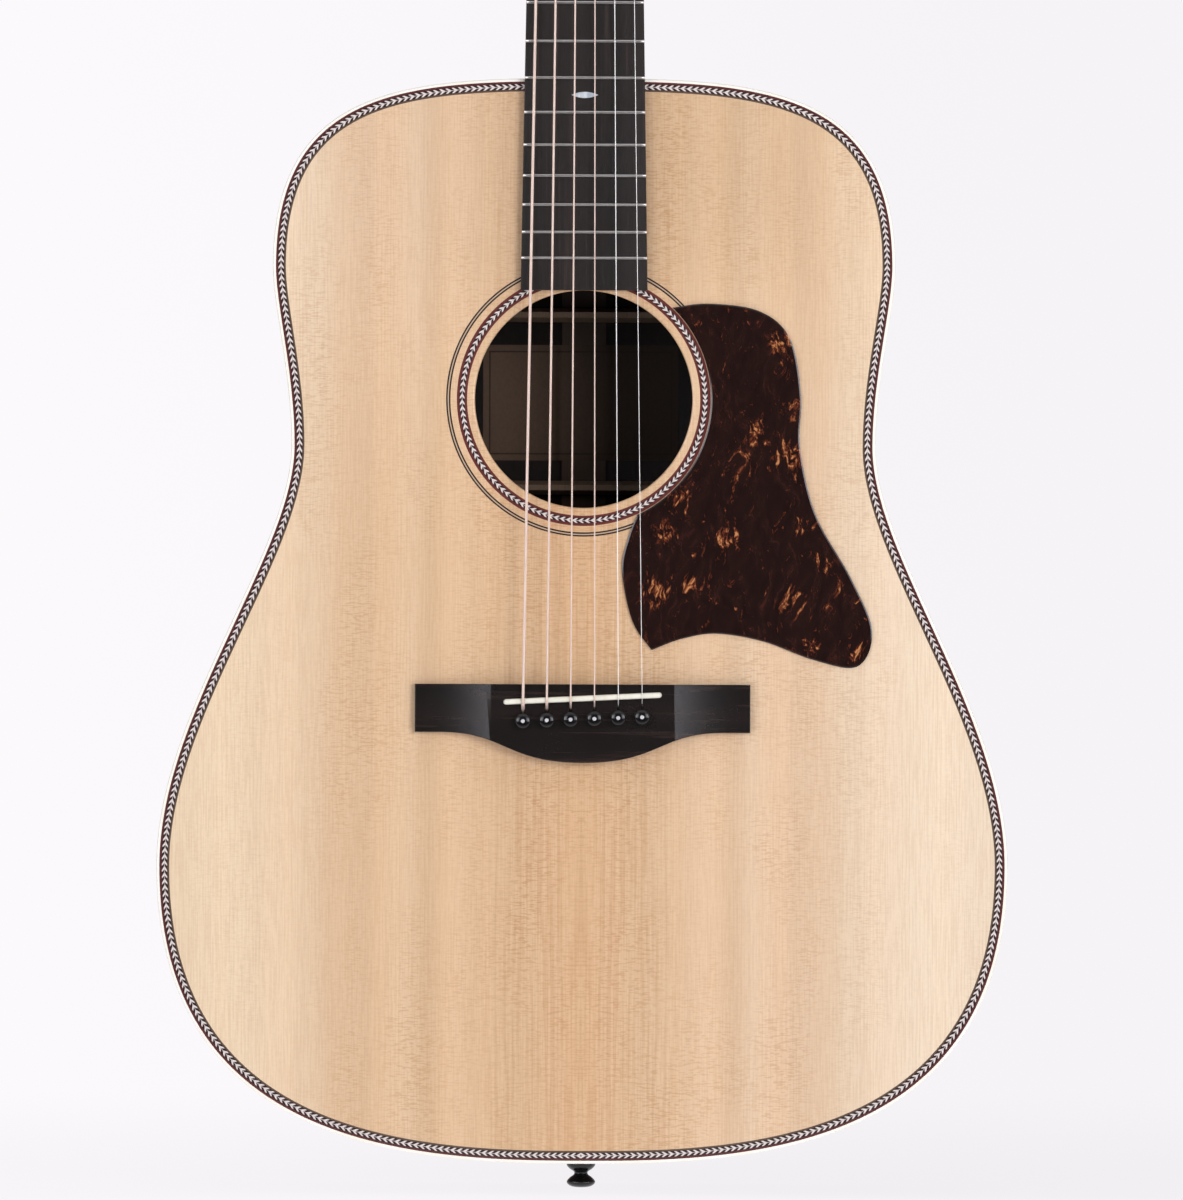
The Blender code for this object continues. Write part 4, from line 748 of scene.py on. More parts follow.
@dataclass(frozen=True)
class Spruce(Finish):
    """Quarter-sawn spruce, opened like a book at the middle: fine straight lines, silk across them, clear lacquer."""

    # Tone of the wood at distances from the middle joint, in millimetres
    tones: tuple = (
        (0, (218, 177, 138)), (22, (225, 186, 149)), (44, (225, 187, 151)), (57, (226, 189, 155)), (69, (222, 185, 150)),
        (79, (230, 196, 163)), (92, (226, 189, 155)), (114, (228, 193, 160)), (123, (236, 205, 174)),
        (146, (238, 209, 180)), (153, (241, 214, 185)), (200, (241, 214, 186)),
    )
    reach: float = 200
    late_wood: tuple = (187, 132, 88)
    # How much paler, in red, green and blue, the treble side is below the waist and the bass side above it
    lean_gain: tuple = (0.024, 0.045, 0.08)
    tint: tuple = (0.972, 1.022, 1.03)

    def paint(self, g: Graph) -> None:
        """Draws the finish's nodes."""
        place = g.place()
        x, _, z = g.parts(place)
        joint = g.math("ADD", x, 0.0004)
        side = g.math("ABSOLUTE", joint)
        lean = g.math("MULTIPLY", g.math("SUBTRACT", g.noise(g.stretched(place, (4, 1, 2.2)), 1, 2), 0.5), 0.03)
        toned = g.math("DIVIDE", g.math("ADD", side, lean), self.reach * MM)
        base = g.ramp(toned, [(at / self.reach, srgb(*tone)) for at, tone in self.tones])
        open_book = g.vector(side, 0.37, z)
        growth = g.effect(GROWTH, Place=open_book, Across=side, Spacing=1.5 * MM, Wander=2.5 * MM, Sharpness=2.4)
        near_joint = g.fit(side, 0.028, 0.055, (1, 0))
        line = g.math("MULTIPLY", growth.outputs["Line"], g.math("ADD", 0.145, g.math("MULTIPLY", near_joint, 0.12)))
        base = g.mix(line, base, srgb(*self.late_wood))
        band = g.fit(growth.outputs["Band"], 0.3, 0.7, (-0.05, 0.06))
        ray = g.effect(DASHES, Place=g.vector(z, 0.2, side), Width=0.52 * MM, Length=3.4 * MM, Threshold=0.5)
        patch = g.fit(g.noise(g.stretched(place, (34, 1, 12)), 1, 3), 0.36, 0.7, (0.15, 1))
        patch = g.math("MULTIPLY", patch, g.fit(side, 0.105, 0.16, (0.36, 0.10)))
        patch = g.math("ADD", patch, g.math("MULTIPLY", near_joint, 0.16))
        silk = g.math("MULTIPLY", ray.outputs["Dash"], patch)
        base = g.mix(silk, base, srgb(*self.late_wood))
        fibre = g.effect(DASHES, Place=open_book, Width=0.55 * MM, Length=16 * MM, Threshold=0.46)
        base = g.mix(g.math("MULTIPLY", fibre.outputs["Dash"], 0.13), base, srgb(*self.late_wood))
        streak = g.effect(DASHES, Place=open_book, Width=1.7 * MM, Length=60 * MM, Threshold=0.5)
        streaked = g.math("MULTIPLY", streak.outputs["Dash"], g.math("MULTIPLY", near_joint, 0.23))
        base = g.mix(streaked, base, srgb(*self.late_wood))
        mottle = g.noise(g.stretched(place, (700, 1, 520)), 1, 2)
        # Darker across the upper bout towards its treble side, and darker beside the fretboard; the second part is a
        # painted shadow of the raised board
        shoulder_and_board_shadow = g.math("MULTIPLY", g.fit(x, -0.12, 0.08, (0.03, 0.085)), g.fit(z, 0.38, 0.46))
        shoulder_and_board_shadow = g.math("ADD", g.math("MULTIPLY", shoulder_and_board_shadow, g.fit(side, 0.09, 0.12, (1, 0))), g.math(
            "MULTIPLY", g.fit(side, 0.075, 0.03, (0, 0.045)), g.fit(z, 0.36, 0.42)))
        lower_right = g.math("MULTIPLY", g.fit(x, 0.10, 0.14, (0, 0.026)), g.fit(z, 0.36, 0.30))
        light = g.math("SUBTRACT", g.math("ADD", 1.035, band), g.math("ADD", shoulder_and_board_shadow, lower_right))
        light = g.math("ADD", light, g.fit(mottle, 0.25, 0.75, (-0.022, 0.022)))
        tilt = g.math("MULTIPLY", g.fit(x, -0.12, 0.12, (-1, 1)), g.fit(z, 0.28, 0.46, (1, -0.8)))
        shades = (g.math("ADD", light, g.math("MULTIPLY", tilt, gain)) for gain in self.lean_gain)
        gains = (g.math("MULTIPLY", shade, part) for shade, part in zip(shades, self.tint))
        base = g.mix(1, base, g.vector(*gains), "MULTIPLY")
        gloss = g.effect(HANDLING, Place=place, Roughness=0.38, Unevenness=0.10)
        normal = g.bump(growth.outputs["Line"], 0.04, 0.03 * MM)
        g.surface(
            Base_Color=base, Roughness=gloss.outputs["Roughness"], Normal=normal, Coat_Weight=0.35, Coat_Roughness=0.16
        )


@dataclass(frozen=True)
class Timber(Finish):
    """A lengthwise-sawn wood other than the top: lines, pores and bands of tone."""

    dark: tuple = (60, 30, 22)
    mid: tuple = (90, 50, 35)
    pale: tuple = (120, 72, 50)
    spacing: float = 2.4 * MM
    wander: float = 12 * MM
    pores: float = 0.5
    roughness: float = 0.4
    lacquer: float = 0.0
    # How strongly paler streaks show
    streaks: float = 0.0
    # Which axis the grain follows, and whether the two halves mirror each other
    along: str = "Z"
    bookmatched: bool = False
    # Half the width of the marquetry strip along the joint, where there is one
    strip: float = 0.0
    # How much the bare wood itself mirrors
    shine: float = 0.5

    def paint(self, g: Graph) -> None:
        """Draws the finish's nodes."""
        place = g.place()
        x, y, z = g.parts(place)
        across, length = (x, z) if self.along == "Z" else (z, x)
        if self.bookmatched:
            across = g.math("ABSOLUTE", across)
        grain = g.vector(across, y, length)
        slanted = g.math("ADD", across, g.math("MULTIPLY", y, 0.6))
        growth = g.effect(
            GROWTH, Place=grain, Across=slanted, Spacing=self.spacing, Wander=self.wander, Sharpness=1.6
        )
        stops = [(0.22, srgb(*self.dark)), (0.5, srgb(*self.mid)), (0.8, srgb(*self.pale))]
        base = g.ramp(growth.outputs["Band"], stops)
        streak = g.noise(g.stretched(grain, (360, 360, 9)), 1, 4, 0.62)
        base = g.mix(g.fit(streak, 0.52, 0.74, (0, self.streaks)), base, srgb(*(1.3 * part for part in self.pale)))
        base = g.mix(g.math("MULTIPLY", growth.outputs["Line"], 0.55), base, srgb(*self.dark))
        pore = g.effect(DASHES, Place=grain, Width=0.35 * MM, Length=7 * MM, Threshold=0.58).outputs["Dash"]
        shade = g.math("MULTIPLY", pore, self.pores)
        base = g.mix(shade, base, srgb(*(0.35 * part for part in self.dark)))
        if self.strip:
            base = self.inlaid(g, base, x, z)
        gloss = g.effect(HANDLING, Place=place, Roughness=self.roughness, Unevenness=0.12)
        normal = g.bump(g.math("SUBTRACT", 1, pore), 0.25 if self.lacquer == 0 else 0.08, 0.05 * MM)
        g.surface(
            Base_Color=base,
            Roughness=gloss.outputs["Roughness"],
            Normal=normal,
            Specular_IOR_Level=self.shine,
            Coat_Weight=self.lacquer,
            Coat_Roughness=0.08,
        )


    def inlaid(self, g: Graph, base: Socket, x: Socket, z: Socket) -> Socket:
        """Lays the strip over the wood.

        Args:
            g: The material's graph.
            base: The wood's colour.
            x: Place across the joint.
            z: Place along the joint.

        Returns:
            The colour of wood and strip.
        """
        pattern = g.effect(
            CHEVRONS, Along=z, Across=x, Spine=0.0, Pitch=3.4 * MM, Slope=1.0, Reach=0.62 * self.strip
        )
        off = pattern.outputs["Off"]
        wood = g.mix(pattern.outputs["Arm"], srgb(38, 20, 16), srgb(178, 138, 96))
        rule = g.fit(g.math("ABSOLUTE", g.math("SUBTRACT", off, 0.8 * self.strip)), 0.12 * MM, 0.06 * MM)
        wood = g.mix(rule, wood, srgb(206, 178, 138))
        return g.mix(g.fit(off, self.strip + 0.05 * MM, self.strip - 0.05 * MM), base, wood)


@dataclass(frozen=True)
class Herringbone(Finish):
    """Marquetry strip mapped along its length: a coloured line on each side of black and white chevrons."""

    first_line: float = 0.95 * MM
    chevrons: float = 2.86 * MM
    pitch: float = 2.97 * MM
    slope: float = 1.4
    arm_reach: float = 1.22 * MM
    first_colour: tuple = (88, 40, 40)
    last_colour: tuple = (92, 74, 62)

    def paint(self, g: Graph) -> None:
        """Draws the finish's nodes."""
        along, across, _ = g.parts(g.place("UV"))
        half = self.chevrons / 2
        spine = self.first_line + half
        pattern = g.effect(
            CHEVRONS,
            Along=along,
            Across=across,
            Spine=spine,
            Pitch=self.pitch,
            Slope=self.slope,
            Reach=self.arm_reach,
        )
        cloud = g.noise(g.place(), 700, 2)
        white = g.mix(cloud, srgb(214, 206, 202), srgb(238, 232, 228))
        black = g.mix(cloud, srgb(30, 12, 12), srgb(52, 22, 22))
        base = g.mix(pattern.outputs["Arm"], black, white)
        base = g.mix(g.math("MULTIPLY", pattern.outputs["Line"], 0.75), base, srgb(206, 192, 192))
        outside = g.fit(pattern.outputs["Off"], half - 0.06 * MM, half + 0.06 * MM)
        towards = g.math("GREATER_THAN", across, spine)
        fleck = g.fit(cloud, 0.2, 0.8, (0.82, 1.12))
        line = g.mix(towards, srgb(*self.first_colour), srgb(*self.last_colour))
        line = g.mix(1, line, g.vector(fleck, fleck, fleck), "MULTIPLY")
        base = g.mix(outside, base, line)
        gloss = g.effect(HANDLING, Place=g.place(), Roughness=0.36, Unevenness=0.1)
        g.surface(
            Base_Color=base,
            Roughness=gloss.outputs["Roughness"],
            Normal=g.bump(outside, 0.1, 0.03 * MM),
            Coat_Weight=0.35,
            Coat_Roughness=0.16,
        )


@dataclass(frozen=True)
class RingLines(Finish):
    """Fine inlaid lines round the sound hole, by their distance from its middle."""

    inner: float = 62.3 * MM
    outer: float = 64.3 * MM
    dark: tuple = (34, 28, 26)
    pale: tuple = (200, 172, 146)
    # Dark and pale lines in turn, and how far the outer dark ones run on, in lines
    count: int = 3
    overrun: float = 0.45

    def paint(self, g: Graph) -> None:
        """Draws the finish's nodes."""
        place = g.place()
        x, _, z = g.parts(place)
        up = g.math("SUBTRACT", z, HOLE_LEVEL)
        radius = g.math("SQRT", g.math("ADD", g.math("MULTIPLY", x, x), g.math("MULTIPLY", up, up)))
        share = g.math("DIVIDE", g.math("SUBTRACT", radius, self.inner), self.outer - self.inner)
        turns = g.math("SUBTRACT", g.math("MULTIPLY", share, self.count - 1 + 2 * self.overrun), self.overrun)
        wave = g.math("COSINE", g.math("MULTIPLY", turns, math.pi))
        cloud = g.noise(place, 500, 2)
        dark = g.mix(cloud, srgb(*self.dark), srgb(*(0.75 * part for part in self.dark)))
        base = g.mix(g.fit(wave, -0.6, -0.1), srgb(*self.pale), dark)
        gloss = g.effect(HANDLING, Place=place, Roughness=0.36, Unevenness=0.1)
        g.surface(
            Base_Color=base,
            Roughness=gloss.outputs["Roughness"],
            Normal=g.bump(gloss.outputs["Height"], 0.03, 0.05 * MM),
            Coat_Weight=0.35,
            Coat_Roughness=0.16,
        )


@dataclass(frozen=True)
class Plastic(Finish):
    """Cast or pressed plastic, bone or pearl: one colour that clouds into another, polished."""

    first: tuple = (235, 225, 205)
    second: tuple = (245, 238, 222)
    scale: float = 90
    streak: float = 1.0
    roughness: float = 0.3
    coat: float = 0.0
    relief: float = 0.04

    def paint(self, g: Graph) -> None:
        """Draws the finish's nodes."""
        place = g.place()
        cloud = g.noise(g.stretched(place, (1, 1, self.streak)), self.scale, 3)
        base = g.mix(g.fit(cloud, 0.3, 0.7), srgb(*self.first), srgb(*self.second))
        gloss = g.effect(HANDLING, Place=place, Roughness=self.roughness, Unevenness=0.12)
        g.surface(
            Base_Color=base,
            Roughness=gloss.outputs["Roughness"],
            Normal=g.bump(gloss.outputs["Height"], self.relief, 0.05 * MM),
            Coat_Weight=self.coat,
            Coat_Roughness=0.1,
        )


@dataclass(frozen=True)
class Tortoise(Finish):
    """Dark tortoise sheet: nearly black with red-brown clouds and clusters of amber flakes."""

    # Middle (x, z) in millimetres from the sound hole's centre, and radius, of the places rich in amber
    clusters: tuple = (
        (92, 26, 10), (94, 15, 9), (81, -12, 8), (82, -21, 7), (72, -31, 12), (96, -25, 13), (44, -48, 10),
        (38, -62, 9), (68, -65, 11), (103, -58, 7), (33, -91, 12), (50, -87, 9), (98, -95, 12), (113, -76, 8),
        (117, -87, 8), (107, -116, 8), (127, -118, 8), (100, -5, 10),
    )

    def paint(self, g: Graph) -> None:
        """Draws the finish's nodes."""
        place = g.place()
        x, _, z = g.parts(place)
        flow = g.noise(g.stretched(place, (60, 1, 34)), 1, 3)
        swirl = g.vector(
            g.math("ADD", g.math("MULTIPLY", x, 560), g.math("MULTIPLY", flow, 14)),
            0.4,
            g.math("ADD", g.math("MULTIPLY", z, 210), g.math("MULTIPLY", flow, 7)),
        )
        cloud = g.noise(swirl, 0.5, 6, 0.66)
        stops = ((0.40, (30, 16, 14)), (0.58, (38, 21, 18)), (0.69, (56, 28, 23)), (0.80, (98, 48, 31)))
        base = g.ramp(cloud, [(at, srgb(*tone)) for at, tone in stops])
        rich: Number = 0.0
        for centre_x, centre_z, radius in self.clusters:
            away_x = g.math("SUBTRACT", x, centre_x * MM)
            away_z = g.math("SUBTRACT", z, HOLE_LEVEL + centre_z * MM)
            away = g.math("SQRT", g.math("ADD", g.math("MULTIPLY", away_x, away_x), g.math("MULTIPLY", away_z, away_z)))
            rich = g.math("MAXIMUM", rich, g.fit(away, radius * MM, 0.3 * radius * MM))
        flake = g.noise(g.stretched(swirl, (1.3, 1, 1.6), (5, 2, 1)), 0.55, 6, 0.72)
        level = g.math("ADD", flake, g.math("MULTIPLY", rich, 0.115))
        halo = g.fit(level, 0.61, 0.66, (0, 0.8))
        core = g.fit(level, 0.675, 0.735)
        base = g.mix(halo, base, srgb(104, 48, 29))
        base = g.mix(core, base, srgb(194, 130, 82))
        gloss = g.effect(HANDLING, Place=place, Roughness=0.16, Unevenness=0.06)
        g.surface(
            Base_Color=base,
            Roughness=gloss.outputs["Roughness"],
            Normal=g.bump(gloss.outputs["Height"], 0.02, 0.05 * MM),
        )


@dataclass(frozen=True)
class Metal(Finish):
    """Drawn or plated metal with faint scratches along one axis."""

    colour: tuple = (200, 198, 192)
    roughness: float = 0.2
    scratch: tuple = (400, 400, 60)
    metallic: float = 1.0

    def paint(self, g: Graph) -> None:
        """Draws the finish's nodes."""
        place = g.place()
        scratch = g.noise(g.stretched(place, self.scratch), 8, 3)
        base = g.mix(g.fit(scratch, 0.3, 0.75), srgb(*self.colour), srgb(*(0.9 * part for part in self.colour)))
        gloss = g.effect(HANDLING, Place=place, Roughness=self.roughness, Unevenness=0.12)
        g.surface(
            Base_Color=base,
            Metallic=self.metallic,
            Roughness=gloss.outputs["Roughness"],
            Normal=g.bump(scratch, 0.04, 0.02 * MM),
        )


@dataclass(frozen=True)
class WoundWire(Finish):
    """Bronze wire wound close round a core, mapped along the string."""

    colour: tuple = (255, 236, 226)
    # Painted shade in the grooves between the windings
    painted_groove_shade: tuple = (210, 176, 160)
    pitch: float = 0.36 * MM

    def paint(self, g: Graph) -> None:
        """Draws the finish's nodes."""
        along, turn, _ = g.parts(g.place("UV"))
        wave = g.math("SINE", g.math("MULTIPLY", along, 2 * math.pi / self.pitch))
        ridge = g.fit(wave, -1, 0.5)
        cloud = g.noise(g.place(), 120, 2)
        bronze = g.mix(cloud, srgb(*self.colour), srgb(*(0.88 * part for part in self.colour)))
        base = g.mix(ridge, srgb(*self.painted_groove_shade), bronze)
        gloss = g.effect(HANDLING, Place=g.place(), Roughness=0.34, Unevenness=0.1)
        g.surface(
            Base_Color=base,
            Metallic=0.15,
            Roughness=gloss.outputs["Roughness"],
            Normal=g.bump(ridge, 0.5, 0.06 * MM),
        )


@dataclass(frozen=True)
class Paper(Finish):
    """A bare paper label with a thin ruled border, darkened by painted shade and lit across by painted light."""

    left: float = -48 * MM
    right: float = 45 * MM
    low: float = 330 * MM
    high: float = 385 * MM
    border: float = 3.2 * MM
    # Paper and ink tones are darkened by painted shade from inside the body
    colour: tuple = (76, 61, 51)
    ink: tuple = (46, 36, 30)
    # Painted light across the label, standing in for lamp light through the sound hole: how much paler the bass side
    # and how much darker the treble side are drawn
    painted_light_gains: tuple[float, float] = (1.7, 0.55)

    def paint(self, g: Graph) -> None:
        """Draws the finish's nodes."""
        place = g.place()
        x, _, z = g.parts(place)
        to_side = g.math("MINIMUM", g.math("SUBTRACT", x, self.left), g.math("SUBTRACT", self.right, x))
        to_end = g.math("MINIMUM", g.math("SUBTRACT", z, self.low), g.math("SUBTRACT", self.high, z))
        inset = g.math("MINIMUM", to_side, to_end)
        off = g.math("ABSOLUTE", g.math("SUBTRACT", inset, self.border))
        rule = g.fit(off, 0.45 * MM, 0.25 * MM)
        fibre = g.noise(g.stretched(place, (1, 1, 0.6)), 900, 4)
        sheet = g.mix(g.fit(fibre, 0.3, 0.7), srgb(*self.colour), srgb(*(0.93 * part for part in self.colour)))
        # Painted light: paler on the bass side, darker on the treble side
        fade_and_painted_light = g.fit(x, self.left, 0.4 * self.right, self.painted_light_gains)
        sheet = g.mix(1, sheet, g.vector(fade_and_painted_light, fade_and_painted_light, fade_and_painted_light), "MULTIPLY")
        base = g.mix(g.math("MULTIPLY", rule, 0.8), sheet, srgb(*self.ink))
        g.surface(Base_Color=base, Roughness=0.85, Normal=g.bump(fibre, 0.1, 0.05 * MM))


class Coat(Enum):
    """The finishes, by what they are used on."""

    TOP = Spruce("spruce_top")
    ROSEWOOD = Timber(
        "rosewood", (38, 19, 15), (78, 41, 30), (118, 68, 47), 3.2 * MM, 20 * MM, 0.7, 0.3, 0.5, 0.3, bookmatched=True, shine=0.35
    )
    BACK_ROSEWOOD = Timber(
        "back_rosewood", (38, 19, 15), (78, 41, 30), (118, 68, 47), 3.2 * MM, 20 * MM, 0.7, 0.3, 0.5, 0.3, "Z", True, 3 * MM, 0.35
    )
    # Near-black copy of the rosewood for the faces inside the body: painted shade
    INNER_ROSEWOOD = Timber("shaded_inner_rosewood", (20, 16, 15), (28, 22, 20), (36, 29, 26), 3.2 * MM, 20 * MM, 0.5, 0.7)
    MAHOGANY = Timber("mahogany", (92, 48, 32), (122, 68, 46), (146, 86, 58), 3 * MM, 8 * MM, 0.75, 0.46, 0.03, shine=0.12)
    BRACE = Timber("brace_spruce", (186, 146, 106), (208, 170, 128), (222, 188, 148), 1.4 * MM, 3 * MM, 0.1, 0.7)
    # Dark copy of the brace wood for the back's braces inside the body: painted shade
    BACK_BRACE = Timber("shaded_back_brace_wood", (100, 82, 68), (120, 100, 84), (136, 114, 96), 1.6 * MM, 3 * MM, 0.2, 0.7)
    MAPLE = Timber("plate_maple", (186, 146, 108), (208, 172, 134), (220, 188, 152), 2.2 * MM, 4 * MM, 0.15, 0.6)
    # Cedar darkened by painted shade, for pieces that show only inside the body
    CEDAR = Timber("cedar", (54, 42, 36), (66, 52, 44), (78, 62, 53), 1.6 * MM, 4 * MM, 0.3, 0.7)
    EBONY = Timber("ebony", (22, 19, 18), (39, 33, 32), (64, 54, 50), 0.9 * MM, 3 * MM, 0.5, 0.34, 0.0, 0.35)
    EBONY_ACROSS = Timber(
        "ebony_across", (15, 12, 12), (28, 23, 22), (54, 41, 37), 1.0 * MM, 3 * MM, 0.5, 0.26, 0.0, 0.5, "X"
    )
    BONE = Plastic("bone", (232, 228, 212), (244, 241, 228), 240, 0.3, 0.3)
    CREAM = Plastic("cream_binding", (252, 247, 234), (255, 252, 245), 60, 0.3, 0.32, 0.35)
    EDGE_STRIP = Herringbone("edge_herringbone")
    HOLE_STRIP = Herringbone(
        "hole_herringbone", 1.2 * MM, 2.5 * MM, 2.89 * MM, 1.4, 1.08 * MM, (100, 42, 40), (100, 42, 40)
    )
    HOLE_LINES = RingLines("hole_lines")
    TORTOISE = Tortoise("tortoise")
    BLACK = Plastic("black_plastic", (13, 12, 13), (21, 19, 20), 200, 1, 0.16)
    PEARL = Plastic("pearl", (176, 186, 200), (222, 226, 230), 420, 0.5, 0.18, 0.4)
    DOT = Plastic("pin_dot", (196, 194, 200), (218, 216, 220), 500, 1, 0.22, 0.4)
    FRET = Metal("fret_wire", (226, 222, 218), 0.3, (60, 400, 400))
    STEEL = Metal("plain_steel", (170, 170, 172), 0.35)
    WIRE = Metal("plain_wire", (250, 248, 246), 0.3, (900, 900, 4), 0.25)
    BRONZE = WoundWire("wound_wire")
    NICKEL = Metal("nickel", (206, 202, 194), 0.14, (120, 120, 120))
    LABEL = Paper("label")


class Assembly:
    """A group of pieces that is built, then dressed with its finishes."""

    def __init__(self) -> None:
        """Starts with no pieces."""
        self.kept: list[tuple[Mesh, tuple[Coat, ...], str, tuple[str, ...], str]] = []

    def keep(self, obj: Mesh, coats: Coat | tuple[Coat, ...], stands_for: Sequence[str], slot: str, body: str = GUITAR) -> Mesh:
        """Notes a finished piece.

        Args:
            obj: The piece.
            coats: Its finish, or one to each material slot.
            stands_for: The frame's nodes that it replaces.
            slot: The record's material slot; stored with the piece, but not used.
            body: The body that it rides on.

        Returns:
            The same piece.
        """
        coats = coats if isinstance(coats, tuple) else (coats,)
        self.kept.append((obj, coats, body, tuple(stands_for), slot))
        return obj

    def build(self) -> None:
        """Makes the meshes."""
        raise NotImplementedError

    def dress(self) -> None:
        """Gives every piece its finish, its body and the nodes that it stands for."""
        for obj, coats, body, nodes, slot in self.kept:
            slots = obj.data.materials
            for index, coat in enumerate(coats):
                if index == len(slots):
                    slots.append(coat.value.material())
                else:
                    slots[index] = coat.value.material()
            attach(obj, body)
            if nodes:
                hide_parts(*nodes)
            LOG.info("%s: %d faces, rides on %s", obj.name, len(obj.data.polygons), body)


@dataclass
class Outline:
    """The body's edge seen from the front, the same to both sides."""

    upper: tuple[float, float] = (0.1455, 0.4195)
    waist: tuple[float, float] = (0.1365, 0.3355)
    lower: tuple[float, float] = (0.1990, 0.139)
    shoulder_fullness: tuple[float, float] = (0.54, 0.985)
    flank_fullness: tuple[float, float] = (0.225, 0.39)
    hip_fullness: tuple[float, float] = (0.256, 0.362)
    tail_fullness: tuple[float, float] = (0.99, 0.346)
    steps: int = 360

    def __post_init__(self) -> None:
        """Lays even points down the treble half, from the neck end to the tail."""
        upper, waist, lower = self.upper, self.waist, self.lower
        drop, flank, hip = BODY_LENGTH - upper[1], upper[1] - waist[1], waist[1] - lower[1]
        stretches = (
            ((0, BODY_LENGTH), (self.shoulder_fullness[0] * upper[0], BODY_LENGTH),
             (upper[0], upper[1] + self.shoulder_fullness[1] * drop), upper),
            (upper, (upper[0], upper[1] - self.flank_fullness[0] * flank),
             (waist[0], waist[1] + self.flank_fullness[1] * flank), waist),
            (waist, (waist[0], waist[1] - self.hip_fullness[0] * hip),
             (lower[0], lower[1] + self.hip_fullness[1] * hip), lower),
            (lower, (lower[0], lower[1] * (1 - self.tail_fullness[0])),
             (lower[0] * self.tail_fullness[1], 0), (0, 0)),
        )
        line = np.vstack([cubic(knots, 600)[:-1] for knots in stretches] + [[(0, 0)]])
        travel = np.concatenate([[0], np.cumsum(np.hypot(*np.diff(line, axis=0).T))])
        self.arc = np.linspace(0, travel[-1], self.steps + 1)
        self.half = np.column_stack([np.interp(self.arc, travel, line[:, i]) for i in (0, 1)])
        slope = np.gradient(line, travel, axis=0)
        slope = np.column_stack([np.interp(self.arc, travel, slope[:, i]) for i in (0, 1)])
        slope[0], slope[-1] = (1, 0), (-1, 0)
        slope /= np.linalg.norm(slope, axis=1)[:, None]
        self.inward = np.column_stack([slope[:, 1], -slope[:, 0]])

    def treble(self, inset: float) -> np.ndarray:
        """The treble half moved in from the edge."""
        return self.half + inset * self.inward

    def ring(self, inset: float) -> np.ndarray:
        """The whole outline moved in from the edge, down the treble side and up the bass side."""
        half = self.treble(inset)
        return np.vstack([half, (half * (-1, 1))[-2:0:-1]])

    def climb(self) -> np.ndarray:
        """How far up from the tail each point of the ring is, along the edge."""
        up = self.arc[-1] - self.arc
        return np.concatenate([up, up[-2:0:-1]])


def front_at(depth: float) -> Callable[[np.ndarray, np.ndarray], np.ndarray]:
    """The surface a depth behind the soundboard's face, as a function of x and z."""
    return lambda x, z: np.full(np.shape(x), FRONT + depth)


def back_at(depth: float) -> Callable[[np.ndarray, np.ndarray], np.ndarray]:
    """The surface a depth in front of the back's face, which tapers to the neck and arches across."""
    slope = (0.100 - 0.124) / BODY_LENGTH
    return lambda x, z: FRONT + 0.124 + slope * z - x**2 / (2 * 4.57) - depth


def hole_cylinder(name: str, x: float, z: float, radius: float, front: float, back: float, sides: int) -> Mesh:
    """A round cutter through the body's front."""
    return plate(name, disc((x, z), radius, sides), front, back)


